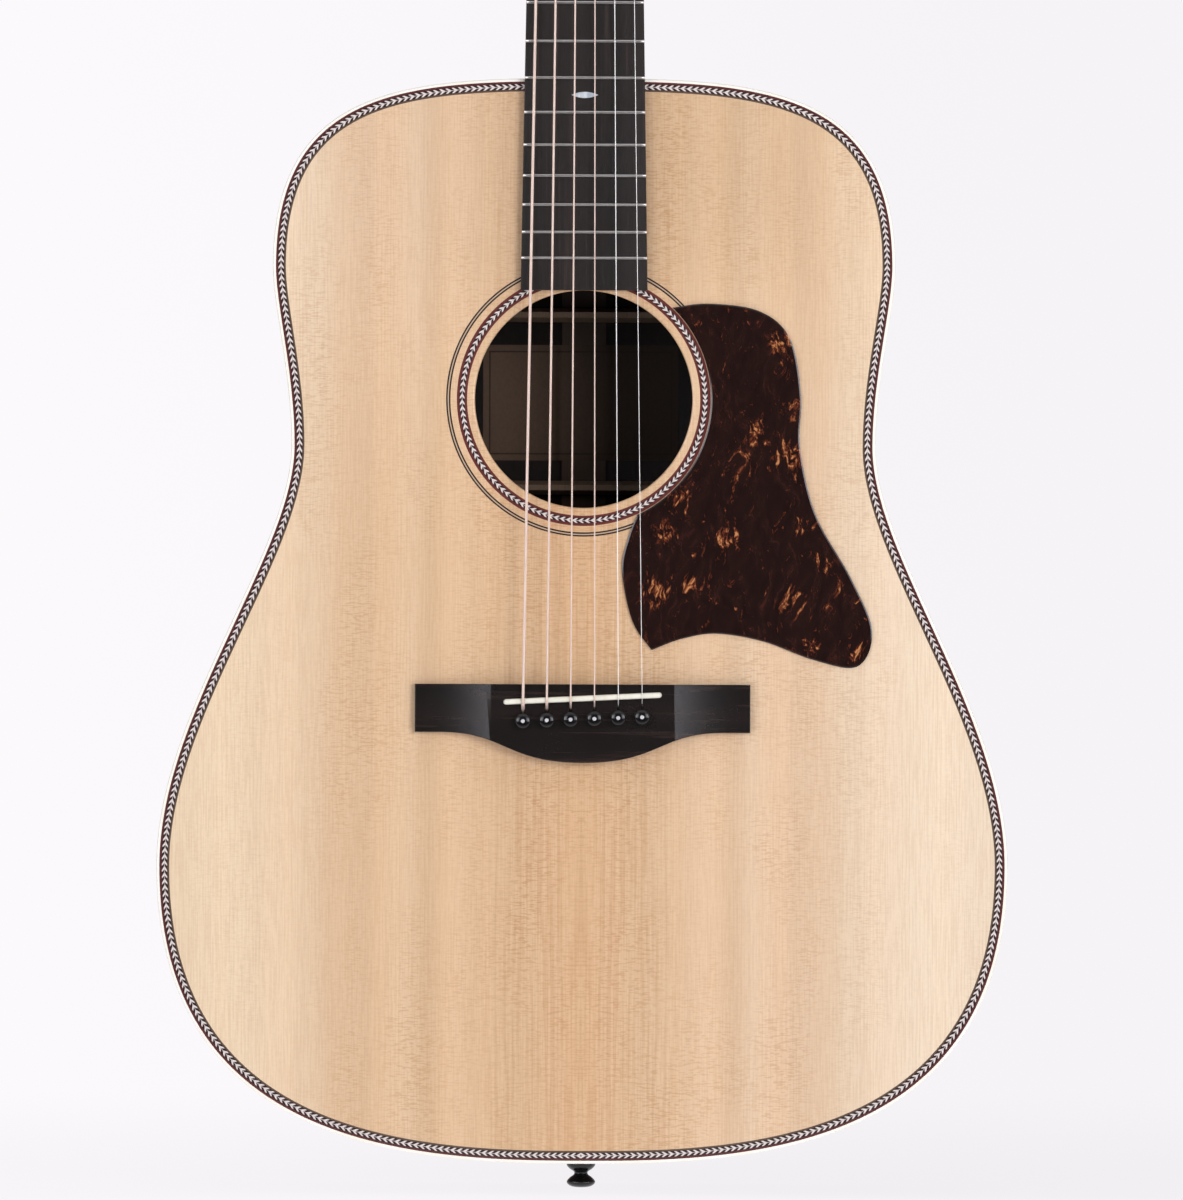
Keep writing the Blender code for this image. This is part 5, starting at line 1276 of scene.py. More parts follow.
@dataclass
class Shell(Assembly):
    """Soundboard, sides, back and the trim round their edges."""

    outline: Outline = field(default_factory=Outline)
    top_thickness: float = 2.8 * MM
    back_thickness: float = 2.7 * MM
    side_thickness: float = 2.6 * MM
    lining_width: float = 6 * MM
    lining_height: float = 14 * MM
    lining_lip: float = 4 * MM
    binding_width: float = 1.4 * MM
    binding_height: float = 6 * MM
    binding_round: float = 0.8 * MM
    strip_width: float = 4.6 * MM
    strip_depth: float = 1.4 * MM
    hole_radius: float = 50.8 * MM
    hole_lip: float = 1.2 * MM
    rosette: tuple[float, float] = (54.5 * MM, 59.3 * MM)
    fine_ring: tuple[float, float] = (62.3 * MM, 64.3 * MM)
    neck_slot: float = 14.8 * MM

    def __post_init__(self) -> None:
        """Starts with no pieces."""
        super().__init__()

    def build(self) -> None:
        """Makes the meshes."""
        self.build_top()
        self.build_trim()
        self.build_rings()
        self.build_back()
        self.build_sides()

    def build_top(self) -> None:
        """The top plate, stepped at its edge for the strip, with the sound hole and its inlay channels."""
        ledge = self.binding_width + HAIRLINE
        top = plate("soundboard_plate", self.outline.ring(ledge), FRONT + self.top_thickness, FRONT + self.strip_depth)
        take_up(top)
        bpy.context.tool_settings.mesh_select_mode = (False, False, True)
        bpy.ops.object.mode_set(mode="EDIT")
        bpy.ops.mesh.select_all(action="DESELECT")
        bpy.ops.object.mode_set(mode="OBJECT")
        for face in top.data.polygons:
            face.select = face.normal.y < -0.9
        bpy.ops.object.mode_set(mode="EDIT")
        bpy.ops.mesh.inset(thickness=self.strip_width)
        bpy.ops.mesh.extrude_region_move(TRANSFORM_OT_translate={"value": (0, -self.strip_depth, 0)})
        close_up(top)
        centre = (0, HOLE_LEVEL)
        carve(top, plate("hole_tool", disc(centre, self.hole_radius, 256), FRONT - 0.01, FRONT + 0.01))
        edge = self.hole_radius + 0.1 * MM
        soften(
            top,
            lambda a, b: all(
                math.hypot(p.x, p.z - HOLE_LEVEL) < edge and p.y < FRONT + HAIRLINE for p in (a, b)
            ),
            self.hole_lip,
            5,
        )
        for inner, outer in (self.rosette, self.fine_ring):
            carve(top, self.washer("channel_tool", inner, outer, FRONT - 1 * MM, FRONT + self.strip_depth))
        carve(top, pin_tool())
        smooth(top, 30)
        self.keep(weigh_normals(top), Coat.TOP, ["soundboard"], "spruce_top")

    def washer(self, name: str, inner: float, outer: float, front: float, back: float) -> Mesh:
        """A flat ring round the sound hole, mapped clockwise along it and inwards across it.

        Args:
            name: The piece's name.
            inner: Its inner radius.
            outer: Its outer radius.
            front: Depth of its front face.
            back: Depth of its back face.

        Returns:
            The piece.
        """
        count = 256
        angles = -2 * np.pi * np.arange(count) / count
        section = ((outer, front), (inner, front), (inner, back), (outer, back))
        rings = [
            np.column_stack([r * np.cos(angles), np.full(count, y), HOLE_LEVEL + r * np.sin(angles)])
            for r, y in section
        ]
        sheet = np.stack(rings, axis=1)
        middle = (inner + outer) / 2
        travel = 2 * np.pi * middle * np.arange(count + 1) / count
        across = np.array([0, outer - inner, outer - inner, 0, 0])
        uv = np.stack(np.broadcast_arrays(travel[:, None], across[None, :]), axis=-1)
        return skin(name, sheet, along=True, uv=uv)

    def build_rings(self) -> None:
        """The herringbone ring and the fine lines round the sound hole."""
        front, back = FRONT - HAIRLINE, FRONT + self.strip_depth - HAIRLINE
        inner, outer = self.rosette
        ring = self.washer("rosette_ring", inner + HAIRLINE, outer - HAIRLINE, front, back)
        self.keep(ring, Coat.HOLE_STRIP, ["rosette"], "marquetry")
        inner, outer = self.fine_ring
        lines = self.washer("rosette_lines", inner + HAIRLINE, outer - HAIRLINE, front, back)
        self.keep(lines, Coat.HOLE_LINES, [], "marquetry")

    def band(
        self, name: str, section: Sequence[tuple[float, Callable[[np.ndarray, np.ndarray], np.ndarray]]], sharp: float = 35
    ) -> Mesh:
        """A strip round the whole body, mapped up from the tail along it and inwards across it.

        Args:
            name: The piece's name.
            section: Inset and surface of each corner of its section.
            sharp: Angle in degrees past which an edge stays sharp.

        Returns:
            The piece.
        """
        rings = []
        for inset, surface in section:
            x, z = self.outline.ring(inset).T
            rings.append(np.column_stack([x, surface(x, z), z]))
        climb = self.outline.climb()
        climb = np.append(climb, climb[0])
        across = np.array([inset for inset, _ in (*section, section[0])]) - section[0][0]
        uv = np.stack(np.broadcast_arrays(climb[:, None], across[None, :]), axis=-1)
        return skin(name, np.stack(rings, axis=1), along=True, uv=uv, sharp=sharp)

    def build_trim(self) -> None:
        """Both bindings, rounded at the corner, and the herringbone strip."""
        round_off = self.binding_round
        turn = np.linspace(0, math.pi / 2, 6)
        corner = [(round_off * (1 - math.sin(a)), round_off * (1 - math.cos(a))) for a in turn]
        for name, surface_at in (("binding_top", front_at), ("binding_back", back_at)):
            section = [(self.binding_width, 0), *corner, (0, self.binding_height), (self.binding_width, self.binding_height)]
            strip = self.band(name + "_strip", [(inset, surface_at(depth)) for inset, depth in section])
            self.keep(strip, Coat.CREAM, [name], "cream_plastic")
        outer = self.binding_width + HAIRLINE
        inner = outer + self.strip_width - 2 * HAIRLINE
        faces = front_at(-HAIRLINE / 2), front_at(self.strip_depth - HAIRLINE)
        section = [(outer, faces[0]), (inner, faces[0]), (inner, faces[1]), (outer, faces[1])]
        self.keep(self.band("purfling_strip", section), Coat.EDGE_STRIP, ["purfling"], "marquetry")

    def build_back(self) -> None:
        """The back plate, arched across its width."""
        ring = self.outline.ring(self.binding_width + HAIRLINE)
        deselect()
        bpy.ops.mesh.primitive_circle_add(vertices=len(ring), fill_type="NGON")
        back = christened("back_plate_arched")
        place_points(back, np.column_stack([ring[:, 0], np.zeros(len(ring)), ring[:, 1]]))
        bpy.ops.object.mode_set(mode="EDIT")
        for column in np.linspace(-0.19, 0.19, 39):
            bpy.ops.mesh.select_all(action="SELECT")
            bpy.ops.mesh.bisect(plane_co=(float(column), 0, 0), plane_no=(1, 0, 0), threshold=1e-6)
        bpy.ops.object.mode_set(mode="OBJECT")
        points = np.zeros(len(back.data.vertices) * 3, np.float32)
        back.data.vertices.foreach_get("co", points)
        points = points.reshape(-1, 3)
        points[:, 1] = back_at(0)(points[:, 0], points[:, 2])
        place_points(back, points)
        take_up(back)
        bpy.ops.object.mode_set(mode="EDIT")
        bpy.ops.mesh.select_all(action="SELECT")
        bpy.ops.mesh.extrude_region_move(TRANSFORM_OT_translate={"value": (0, -self.back_thickness, 0)})
        close_up(back)
        for face in back.data.polygons:
            face.material_index = int(face.normal.y < -0.5)
        smooth(back, 30)
        self.keep(back, (Coat.BACK_ROSEWOOD, Coat.INNER_ROSEWOOD), ["back_plate"], "rosewood")

    def build_sides(self) -> None:
        """The two bent sides, rebated for the bindings, with their glue linings between the blocks."""
        rebate = self.binding_width + HAIRLINE
        edge = self.binding_height + HAIRLINE
        seat = 0.3 * MM
        arcs = self.outline.arc
        half = self.outline.half
        rows = (half[:, 0] > self.neck_slot) | (half[:, 1] < 0.2)
        in_bout = (half[:, 0] > 38.3 * MM) & (half[:, 1] > 0.1) | (half[:, 0] > 35.3 * MM) & (half[:, 1] < 0.2)
        top, back = self.top_thickness + seat, self.back_thickness + seat
        thick = np.full(len(arcs), self.side_thickness)
        lining = thick + np.where(in_bout, self.lining_width, 0.2 * MM)
        lip, tall = self.lining_lip, self.lining_height
        none = np.zeros(len(arcs))
        profile = (
            (none, front_at(edge)), (none, back_at(edge)), (none + rebate, back_at(edge)), (none + rebate, back_at(back)),
            (lining, back_at(back)), (lining, back_at(back + lip)), (thick, back_at(back + tall)),
            (thick, front_at(top + tall)), (lining, front_at(top + lip)), (lining, front_at(top)),
            (none + rebate, front_at(top)), (none + rebate, front_at(edge)),
        )
        for name, hand in (("side_treble", 1), ("side_bass", -1)):
            columns = []
            for insets, surface in profile:
                x, z = (half + insets[:, None] * self.outline.inward).T
                columns.append(np.column_stack([hand * np.maximum(x, 0.01 * MM), surface(x, z), z]))
            sheet = np.stack(columns, axis=1)[rows]
            slots = (0, 0, 0, 1, 1, 1, 2, 1, 1, 1, 0, 0)
            side = skin(name + "_bent", sheet, sharp=30, slots=slots)
            bore = turned("bore_tool", ((0, -0.01), (5.6 * MM, -0.01), (5.6 * MM, 0.02), (0, 0.02)), 48, Matrix())
            carve(side, bore)
            smooth(side, 30)
            self.keep(side, (Coat.ROSEWOOD, Coat.CEDAR, Coat.INNER_ROSEWOOD), [name], "rosewood")


HEAD_TILT = math.radians(15)
HEAD_START = NUT_LEVEL + 5 * MM
HEAD_LENGTH = 0.176
HEAD_THICKNESS = 15 * MM
NECK_DEPTH_AT_BODY = 0.100
BOARD_RADIUS = 0.406
BOARD_FACE = FRONT - 6.3 * MM
STRING_DIAMETERS = tuple(d * MM for d in (0.31, 0.41, 0.61, 0.81, 1.07, 1.35))
PLAIN_STRINGS = 2
SADDLE_LEVEL = 0.217596
SADDLE_SLANT = 0.0474
BRIDGE_FACE = FRONT - 8.3 * MM
PIN_SPREAD = 0.0556
NUT_SPREAD = 0.0366
TUNER_FIRST = 0.042
TUNER_PITCH = 0.040
TUNER_EDGE = 0.0125
POST_WAIST = 2.5 * MM
WAIST_HEIGHT = 9.1 * MM
# Turns the plane of a plate, x and z, into the plane of the headstock's face; the plate's depth runs backwards
HEAD_PLANE = Matrix.Translation((0, FRONT, HEAD_START)) @ Matrix.Rotation(-HEAD_TILT, 4, "X")
# Turn a spun piece's axis to the front, to the treble side and to the tail
TO_FRONT = Matrix.Rotation(math.pi / 2, 4, "X")
TO_SIDE = Matrix.Rotation(math.pi / 2, 4, "Y")
TO_TAIL = Matrix.Rotation(math.pi, 4, "X")


def camber(x: float | np.ndarray) -> float | np.ndarray:
    """How far the fretboard's face falls away beside its middle."""
    return x**2 / (2 * BOARD_RADIUS)


def fret_level(fret: int) -> float:
    """How high a fret is."""
    return NUT_LEVEL - SCALE_LENGTH * (1 - 2 ** (-fret / 12))


def board_half_width(level: float | np.ndarray) -> float | np.ndarray:
    """Half the fretboard's width at a height."""
    share = (NUT_LEVEL - level) / (NUT_LEVEL - BODY_LENGTH)
    return (0.0445 + (0.0561 - 0.0445) * share) / 2


def head_half_width(place: float) -> float:
    """Half the headstock's width at a distance up from the nut; its upper corners are round."""
    flare, corner = 0.028, 9 * MM
    if place <= flare:
        return 0.02225 + (0.0325 - 0.02225) * smoothstep(place / flare)
    straight = 0.0325 + (0.0365 - 0.0325) * (place - flare) / (HEAD_LENGTH - flare)
    into = max(0.0, place - (HEAD_LENGTH - corner))
    return straight - corner + math.sqrt(max(corner**2 - into**2, 0))


def head_point(x: float, place: float, height: float) -> Vector:
    """A point by its distance up the headstock and its height over the headstock's wood."""
    return HEAD_PLANE @ Vector((x, -height, place))


def string_x(number: int, spread: float) -> float:
    """Where a string lies across a spread of strings."""
    return spread * (0.5 - (number - 1) / (len(STRING_DIAMETERS) - 1))


def pin_place(number: int) -> tuple[float, float]:
    """Where a bridge pin's axis is, in x and z."""
    x = string_x(number, PIN_SPREAD)
    return x, SADDLE_LEVEL - 9.6 * MM + x * 0.036


def tuner_place(number: int) -> tuple[int, float, float]:
    """Which side a string's tuner is on, and its post's place across and up the headstock."""
    hand = 1 if number <= 3 else -1
    row = number - 1 if hand > 0 else 6 - number
    place = TUNER_FIRST + TUNER_PITCH * row
    return hand, hand * (head_half_width(place) - TUNER_EDGE), place


def joined(name: str, pieces: Sequence[Mesh]) -> Mesh:
    """Makes one object of several that don't touch.

    Args:
        name: Its name.
        pieces: The objects to join.

    Returns:
        The object.
    """
    take_up(pieces[0])
    for piece in pieces:
        piece.select_set(True)
    bpy.ops.object.join()
    return christened(name)


def pin_tool() -> Mesh:
    """Cutters for the six pin holes, each with the slot that its string runs up."""
    radius = 2.95 * MM
    tools = []
    for number, diameter in enumerate(STRING_DIAMETERS, 1):
        x, z = pin_place(number)
        slot = max(0.68 * diameter, 0.4 * MM)
        reach = 5.4 * MM + slot
        gap = math.asin(slot / radius)
        angles = np.linspace(math.pi / 2 + gap, math.pi / 2 - gap + 2 * math.pi, 40)
        bow = np.column_stack([x + radius * np.cos(angles), z + radius * np.sin(angles)])
        slot_end = np.array([(x + slot, z + reach), (x - slot, z + reach)])
        tools.append(plate("pin_tool", np.vstack([bow, slot_end]), FRONT - 0.02, FRONT + 0.008))
    return joined("pin_tools", tools)


@dataclass
class Pickguard(Assembly):
    """The tortoise guard, cut round the rosette and down past the sound hole."""

    thickness: float = 1.4 * MM
    # Width of the bevel round its edge, and how much lower it ends
    edge: float = 0.6 * MM
    edge_drop: float = 0.27 * MM
    rosette_radius: float = 59.6 * MM
    arc_degrees: tuple[float, float] = (46, -65)
    # Knots in millimetres from the sound hole's centre
    outer: tuple = (
        (59.0, 44.8), (82.4, 41.2), (96.4, 28.4), (101.6, 2.0), (101.2, -22.0), (108.6, -53.6), (125.5, -83.8),
        (135.2, -108.0), (128.5, -124.5), (108.0, -121.6), (84.7, -113.1), (62.7, -109.4), (46.0, -112.0),
    )
    point: tuple = (32.2, -117.2)
    inner: tuple = ((23.1, -103.6), (18.2, -80.0), (21.0, -65.0))

    def __post_init__(self) -> None:
        """Starts with no pieces."""
        super().__init__()

    def build(self) -> None:
        """Makes the meshes."""
        start, end = (math.radians(degrees) for degrees in self.arc_degrees)
        arc = np.linspace(end, start, 40)
        round_hole = self.rosette_radius * np.column_stack([np.cos(arc), np.sin(arc)])
        outer = [round_hole[-1], *(np.array(knot) * MM for knot in (*self.outer, self.point))]
        inner = [np.array(knot) * MM for knot in (self.point, *self.inner)] + [round_hole[0]]
        line = np.vstack([round_hole[:-1], through(outer, 12)[:-1], through(inner, 12)[:-1]])
        front = FRONT - self.thickness
        level = front + self.edge_drop
        guard = plate("pickguard_sheet", line + (0, HOLE_LEVEL), level, FRONT - 2 * HAIRLINE)
        points = guard.data.vertices
        choose_edges(guard, lambda edge: max(points[i].co.y for i in edge.vertices) < level + HAIRLINE / 4)
        bpy.ops.mesh.inset(thickness=self.edge, depth=self.edge_drop)
        bpy.ops.object.mode_set(mode="OBJECT")
        smooth(guard, 18)
        self.keep(weigh_normals(guard), Coat.TORTOISE, ["pickguard"], "tortoise_plastic")


@dataclass
class Bridge(Assembly):
    """Ebony bridge with its saddle and pins."""

    half_width: float = 78.4 * MM
    top: float = 0.224196
    wing_bottom: float = 0.201696
    belly: float = 0.0142
    belly_half: float = 66 * MM
    crease: float = 42.8 * MM
    wing_height: float = 3.6 * MM
    full_height: float = 8 * MM
    edge: float = 0.8 * MM
    saddle_half: float = 37 * MM
    saddle_thick: float = 1.3 * MM
    saddle_crown: float = 11.1 * MM
    slot_depth: float = 4.5 * MM
    pin_head: float = 3.6 * MM
    # (radius, height) of the pin's head, in its own radii
    pin_profile: tuple = (
        (0.9, 0.1), (0.9, 0.35), (0.99, 0.7), (1, 1.0), (0.955, 1.18), (0.86, 1.30), (0.7, 1.385), (0.5, 1.44), (0.28, 1.47),
    )
    dot_radius: float = 0.95 * MM

    def __post_init__(self) -> None:
        """Starts with no pieces."""
        super().__init__()

    def build(self) -> None:
        """Makes the meshes."""
        self.build_bridge()
        self.build_saddle()
        self.build_pins()

    def face_at(self, x: np.ndarray) -> np.ndarray:
        """Depth of the bridge's face: flat in the middle, scooped down to the wings' tips."""
        share = np.clip((np.abs(x) - self.crease) / (self.half_width - self.crease), 0, 1)
        rise = self.wing_height + (self.full_height - self.wing_height) * (1 - share) ** 2
        return FRONT - 0.3 * MM - rise

    def build_bridge(self) -> None:
        """The bridge, with the saddle's slot and the pin holes cut in it."""
        half, low = self.half_width, self.wing_bottom
        knots = ((0, self.belly), (36 * MM, self.belly), (36 * MM, 0), (self.belly_half, 0))
        bow = cubic([(x, low - drop) for x, drop in knots], 40)
        left = (bow * (-1, 1))[:0:-1]
        line = np.vstack([[(half, self.top), (half, low)], bow[::-1], left[::-1], [(-half, low), (-half, self.top)]])
        deselect()
        bpy.ops.mesh.primitive_circle_add(vertices=len(line), fill_type="NGON")
        bridge = christened("bridge_carved")
        place_points(bridge, np.column_stack([line[:, 0], np.zeros(len(line)), line[:, 1]]))
        bpy.ops.object.mode_set(mode="EDIT")
        steps = np.linspace(self.crease, half, 16)[:-1]
        for column in (*steps, *-steps):
            bpy.ops.mesh.select_all(action="SELECT")
            bpy.ops.mesh.bisect(plane_co=(float(column), 0, 0), plane_no=(1, 0, 0), threshold=1e-6)
        bpy.ops.object.mode_set(mode="OBJECT")
        points = np.zeros(len(bridge.data.vertices) * 3, np.float32)
        bridge.data.vertices.foreach_get("co", points)
        points = points.reshape(-1, 3)
        points[:, 1] = self.face_at(points[:, 0])
        place_points(bridge, points)
        take_up(bridge)
        bpy.ops.object.mode_set(mode="EDIT")
        bpy.ops.mesh.select_all(action="SELECT")
        bpy.ops.mesh.extrude_region_move(TRANSFORM_OT_translate={"value": (0, 0.02, 0)})
        bpy.ops.object.mode_set(mode="OBJECT")
        base = FRONT - 2 * HAIRLINE
        for vertex in bridge.data.vertices:
            if vertex.co.y > FRONT:
                vertex.co.y = base
        close_up(bridge)

        def at_edge(a: Vector, b: Vector) -> bool:
            """Says whether an edge runs round the bridge's face."""
            level = max(a.y, b.y) < base - 1 * MM
            return level and (abs(a.x - b.x) > 1e-6 or abs(a.x) > half - 1e-5)

        soften(bridge, at_edge, self.edge, 3)
        carve(bridge, pin_tool())
        carve(bridge, self.saddle_bar("slot_tool", HAIRLINE, BRIDGE_FACE - 0.01))
        smooth(bridge, 28)
        points = bridge.data.vertices
        choose_edges(bridge, lambda edge: all(abs(abs(points[i].co.x) - self.crease) < 1e-5 for i in edge.vertices))
        bpy.ops.mesh.mark_sharp()
        bpy.ops.object.mode_set(mode="OBJECT")
        self.keep(weigh_normals(bridge), Coat.EBONY_ACROSS, ["bridge"], "ebony")

    def saddle_bar(self, name: str, grow: float, crown: float | None = None) -> Mesh:
        """The saddle, or the cutter of its slot.

        Args:
            name: The piece's name.
            grow: How much larger than the saddle it is.
            crown: Depth of its face, where that isn't the saddle's own.

        Returns:
            The piece.
        """
        thick, half = self.saddle_thick + grow, self.saddle_half + grow
        foot = BRIDGE_FACE + self.slot_depth + grow
        turn = np.linspace(0, math.pi / 2, 7)
        ends = half - thick + thick * np.sin(turn[:-1])
        xs = np.concatenate([-ends[::-1], np.linspace(thick - half, half - thick, 24)[1:-1], ends])
        rows = []
        for x in xs:
            into = max(0.0, abs(x) - (half - thick))
            t = math.sqrt(max(thick**2 - into**2, 0))
            face = FRONT - self.saddle_crown + camber(x) if crown is None else crown
            fall = 0.9 * MM if crown is None else 0.0
            sweep = np.linspace(-1, 1, 9)
            ys = face + fall * (1 - np.sqrt(1 - sweep**2)) + fall * 1.2 * (into / thick) ** 2
            level = SADDLE_LEVEL + x * SADDLE_SLANT
            ring = [(x, foot, level - t), *((x, y, level + t * s) for y, s in zip(ys, sweep)), (x, foot, level + t)]
            rows.append(ring)
        return skin(name, np.array(rows), sharp=40)

    def build_saddle(self) -> None:
        """The bone saddle."""
        self.keep(self.saddle_bar("saddle_bone", 0.0), Coat.BONE, ["saddle"], "bone")

    def build_pins(self) -> None:
        """Six turned pins, each with a pale dot let into its head."""
        head = self.pin_head
        dome = through(self.pin_profile, 5) * head
        shank = [(0, -21 * MM), (1.6 * MM, -21 * MM), (2.0 * MM, -20.4 * MM), (2.6 * MM, 0.3 * MM)]
        first = pin_place(1)
        at = Matrix.Translation((first[0], BRIDGE_FACE, first[1])) @ TO_FRONT
        pin = turned("bridge_pin_1_turned", [*shank, *dome, (0, 1.48 * head)], 40, at)
        low, high = 1.40 * head, 1.499 * head
        r = self.dot_radius
        cap = [(0, low), (r, low), (r, high - 0.12 * MM), (0.8 * r, high - 0.04 * MM), (0, high)]
        dot = turned("bridge_pin_1_dot", cap, 32, at)
        for number in range(1, 7):
            x, z = pin_place(number)
            move = Matrix.Translation((x - first[0], 0, z - first[1]))
            body = f"bridge_pin_{number}_body"
            node = f"bridge_pin_{number}"
            mine = pin if number == 1 else twin(pin, node + "_turned", move)
            spot = dot if number == 1 else twin(dot, node + "_dot", move)
            self.keep(mine, Coat.BLACK, [node], "black_plastic", body)
            self.keep(spot, Coat.DOT, [], "bone", body)


@dataclass
class Neck(Assembly):
    """Neck with heel and headstock, and what is glued to it."""

    roundness: float = 2.2
    depth_at_nut: float = 15.2 * MM
    depth_at_heel: float = 18.5 * MM
    heel_length: float = 17 * MM
    heel_curve: float = 60 * MM
    heel_cap: float = 2.5 * MM
    heel_half: float = 14.5 * MM
    steps: int = 20

    def __post_init__(self) -> None:
        """Starts with no pieces."""
        super().__init__()

    def build(self) -> None:
        """Makes the meshes."""
        self.build_neck()
        self.build_cap()
        self.build_veneer()
        self.build_nut()

    def section(self, half: float, depth: float, roundness: float, heel: float, half_end: float) -> np.ndarray:
        """Points of x and depth round the back of the neck; a heel's section runs in to a flat end.

        Args:
            half: Half the width at the fretboard.
            depth: How deep the section is.
            roundness: How full its curve is.
            heel: How much of a heel it is, 0 to 1.
            half_end: Half the width of the heel's end.

        Returns:
            The points, one a row.
        """
        angles = np.linspace(0, math.pi / 2, self.steps + 1)[:-1]
        share = np.arange(self.steps) / (self.steps - 1)
        x = half * np.cos(angles) ** (2 / roundness)
        d = depth * np.sin(angles) ** (2 / roundness)
        x = x + heel * (half + (half_end - half) * share**1.15 - x)
        d = d + heel * (depth * share**0.85 - d)
        right = np.column_stack([x, d])
        return np.vstack([right, [(0, depth)], (right * (-1, 1))[::-1]])

    def cap_half(self, share: float) -> float:
        """Half the heel cap's width at a share of its length."""
        return self.heel_half * math.sqrt(max(1 - share**2, 0))

    def rings(self) -> np.ndarray:
        """Sections from the heel to the headstock's top, with the places that they are fitted through."""
        foot = BODY_LENGTH + 2 * HAIRLINE
        full = NECK_DEPTH_AT_BODY - self.heel_cap - HAIRLINE
        rings = []

        def add(level: float, depth: float, heel: float, half_end: float) -> None:
            """Adds a level section."""
            points = self.section(board_half_width(level), depth, self.roundness, heel, half_end)
            rings.append([(x, FRONT + d, level) for x, d in points])

        def add_head(place: float, depth: float, roundness: float) -> None:
            """Adds a section square to the headstock."""
            points = self.section(head_half_width(place), depth, roundness, 0, 0)
            rings.append([head_point(x, place, -d) for x, d in points])

        for share in np.linspace(0, 0.97, 8)[:-1]:
            add(foot + share * self.heel_length, full, 1, self.cap_half(share))
        for angle in np.linspace(0, math.pi / 2, 16):
            level = foot + self.heel_length + self.heel_curve * (1 - math.cos(angle))
            depth = self.depth_at_heel + (full - self.depth_at_heel) * (1 - math.sin(angle))
            add(level, depth, 1 - math.sin(angle) ** 1.5, self.cap_half(0.97))
        start = foot + self.heel_length + self.heel_curve
        stop = NUT_LEVEL - 28 * MM
        for share in np.linspace(0, 1, 6)[1:]:
            depth = self.depth_at_heel + (self.depth_at_nut - self.depth_at_heel) * share
            add(start + (stop - start) * share, depth, 0, 0)
        straight = len(rings)
        for place, roundness, extra in ((0, 2.6, 3.5), (8.4, 4, 2.0), (16.8, 6, 0.6), (28, 9, 0)):
            add_head(place * MM, HEAD_THICKNESS + extra * MM, roundness)
        stations = np.array(rings)
        middles = stations[:, self.steps]
        travel = np.concatenate([[0], np.cumsum(np.linalg.norm(np.diff(middles, axis=0), axis=1))])
        fine = np.concatenate([travel[: straight - 2], np.linspace(travel[straight - 2], travel[-1], 30)])
        flat = monotone(travel, stations.reshape(len(stations), -1), fine)
        rings = list(flat.reshape(len(fine), -1, 3))
        corner = 9 * MM
        for share in np.sin(np.linspace(0, math.pi / 2, 12)):
            add_head(HEAD_LENGTH - corner * (1 - share), HEAD_THICKNESS, 9)
        return np.array([np.array(ring, float) for ring in rings])

    def build_neck(self) -> None:
        """The neck's one piece of wood, with dovetail, truss rod channel and post holes."""
        neck = skin("neck_carved", self.rings(), sharp=40)
        tenon = np.array([(-14.5, 491.5), (14.5, 491.5), (11, 509), (-11, 509)]) * MM
        carve(neck, plate("tenon", tenon, -55.7 * MM, 8.3 * MM), "UNION")
        channel = np.array([(-3.1, 519.2), (3.1, 519.2), (3.1, 853.6), (-3.1, 853.6)]) * MM
        carve(neck, plate("channel_tool", channel, FRONT - 2 * MM, FRONT + 10.2 * MM))
        carve(neck, self.post_tool())
        self.keep(smooth(neck, 40), Coat.MAHOGANY, ["neck"], "mahogany")

    def post_tool(self) -> Mesh:
        """Cutters for the six post holes."""
        tools = []
        for number in range(1, 7):
            _, x, place = tuner_place(number)
            tools.append(plate("post_tool", disc((x, place), 4 * MM, 40), -10 * MM, 25 * MM))
        tool = joined("post_tools", tools)
        tool.data.transform(HEAD_PLANE)
        return tool

    def build_cap(self) -> None:
        """The cap on the heel's end."""
        foot = BODY_LENGTH + 2 * HAIRLINE
        shares = np.sin(np.linspace(0, math.pi / 2, 14)) * 0.97
        right = np.array([(self.cap_half(share), foot + share * self.heel_length) for share in shares])
        line = np.vstack([right, (right * (-1, 1))[::-1]])
        back = FRONT + NECK_DEPTH_AT_BODY
        cap = plate("heel_cap_plate", line, back - self.heel_cap, back)
        soften(cap, lambda a, b: min(a.y, b.y) > back - HAIRLINE and max(a.z, b.z) > foot + HAIRLINE, 0.5 * MM)
        smooth(cap, 30)
        self.keep(weigh_normals(cap), Coat.EBONY, ["heel_cap"], "ebony")

    def build_veneer(self) -> None:
        """The dark sheet on the headstock's face."""
        corner = 9 * MM
        places = [*np.linspace(0.3 * MM, 28 * MM, 16)]
        places += [HEAD_LENGTH - corner * (1 - share) for share in np.sin(np.linspace(0, math.pi / 2, 12))]
        right = np.array([(head_half_width(place), place) for place in places])
        line = np.vstack([right, (right * (-1, 1))[::-1]])
        face = -2.1 * MM
        veneer = plate("head_veneer_sheet", line, face, -HAIRLINE)
        soften(veneer, lambda a, b: max(a.y, b.y) < face + HAIRLINE, 0.5 * MM)
        veneer.data.transform(HEAD_PLANE)
        carve(veneer, self.post_tool())
        smooth(veneer, 30)
        self.keep(weigh_normals(veneer), Coat.EBONY, ["head_veneer"], "ebony")

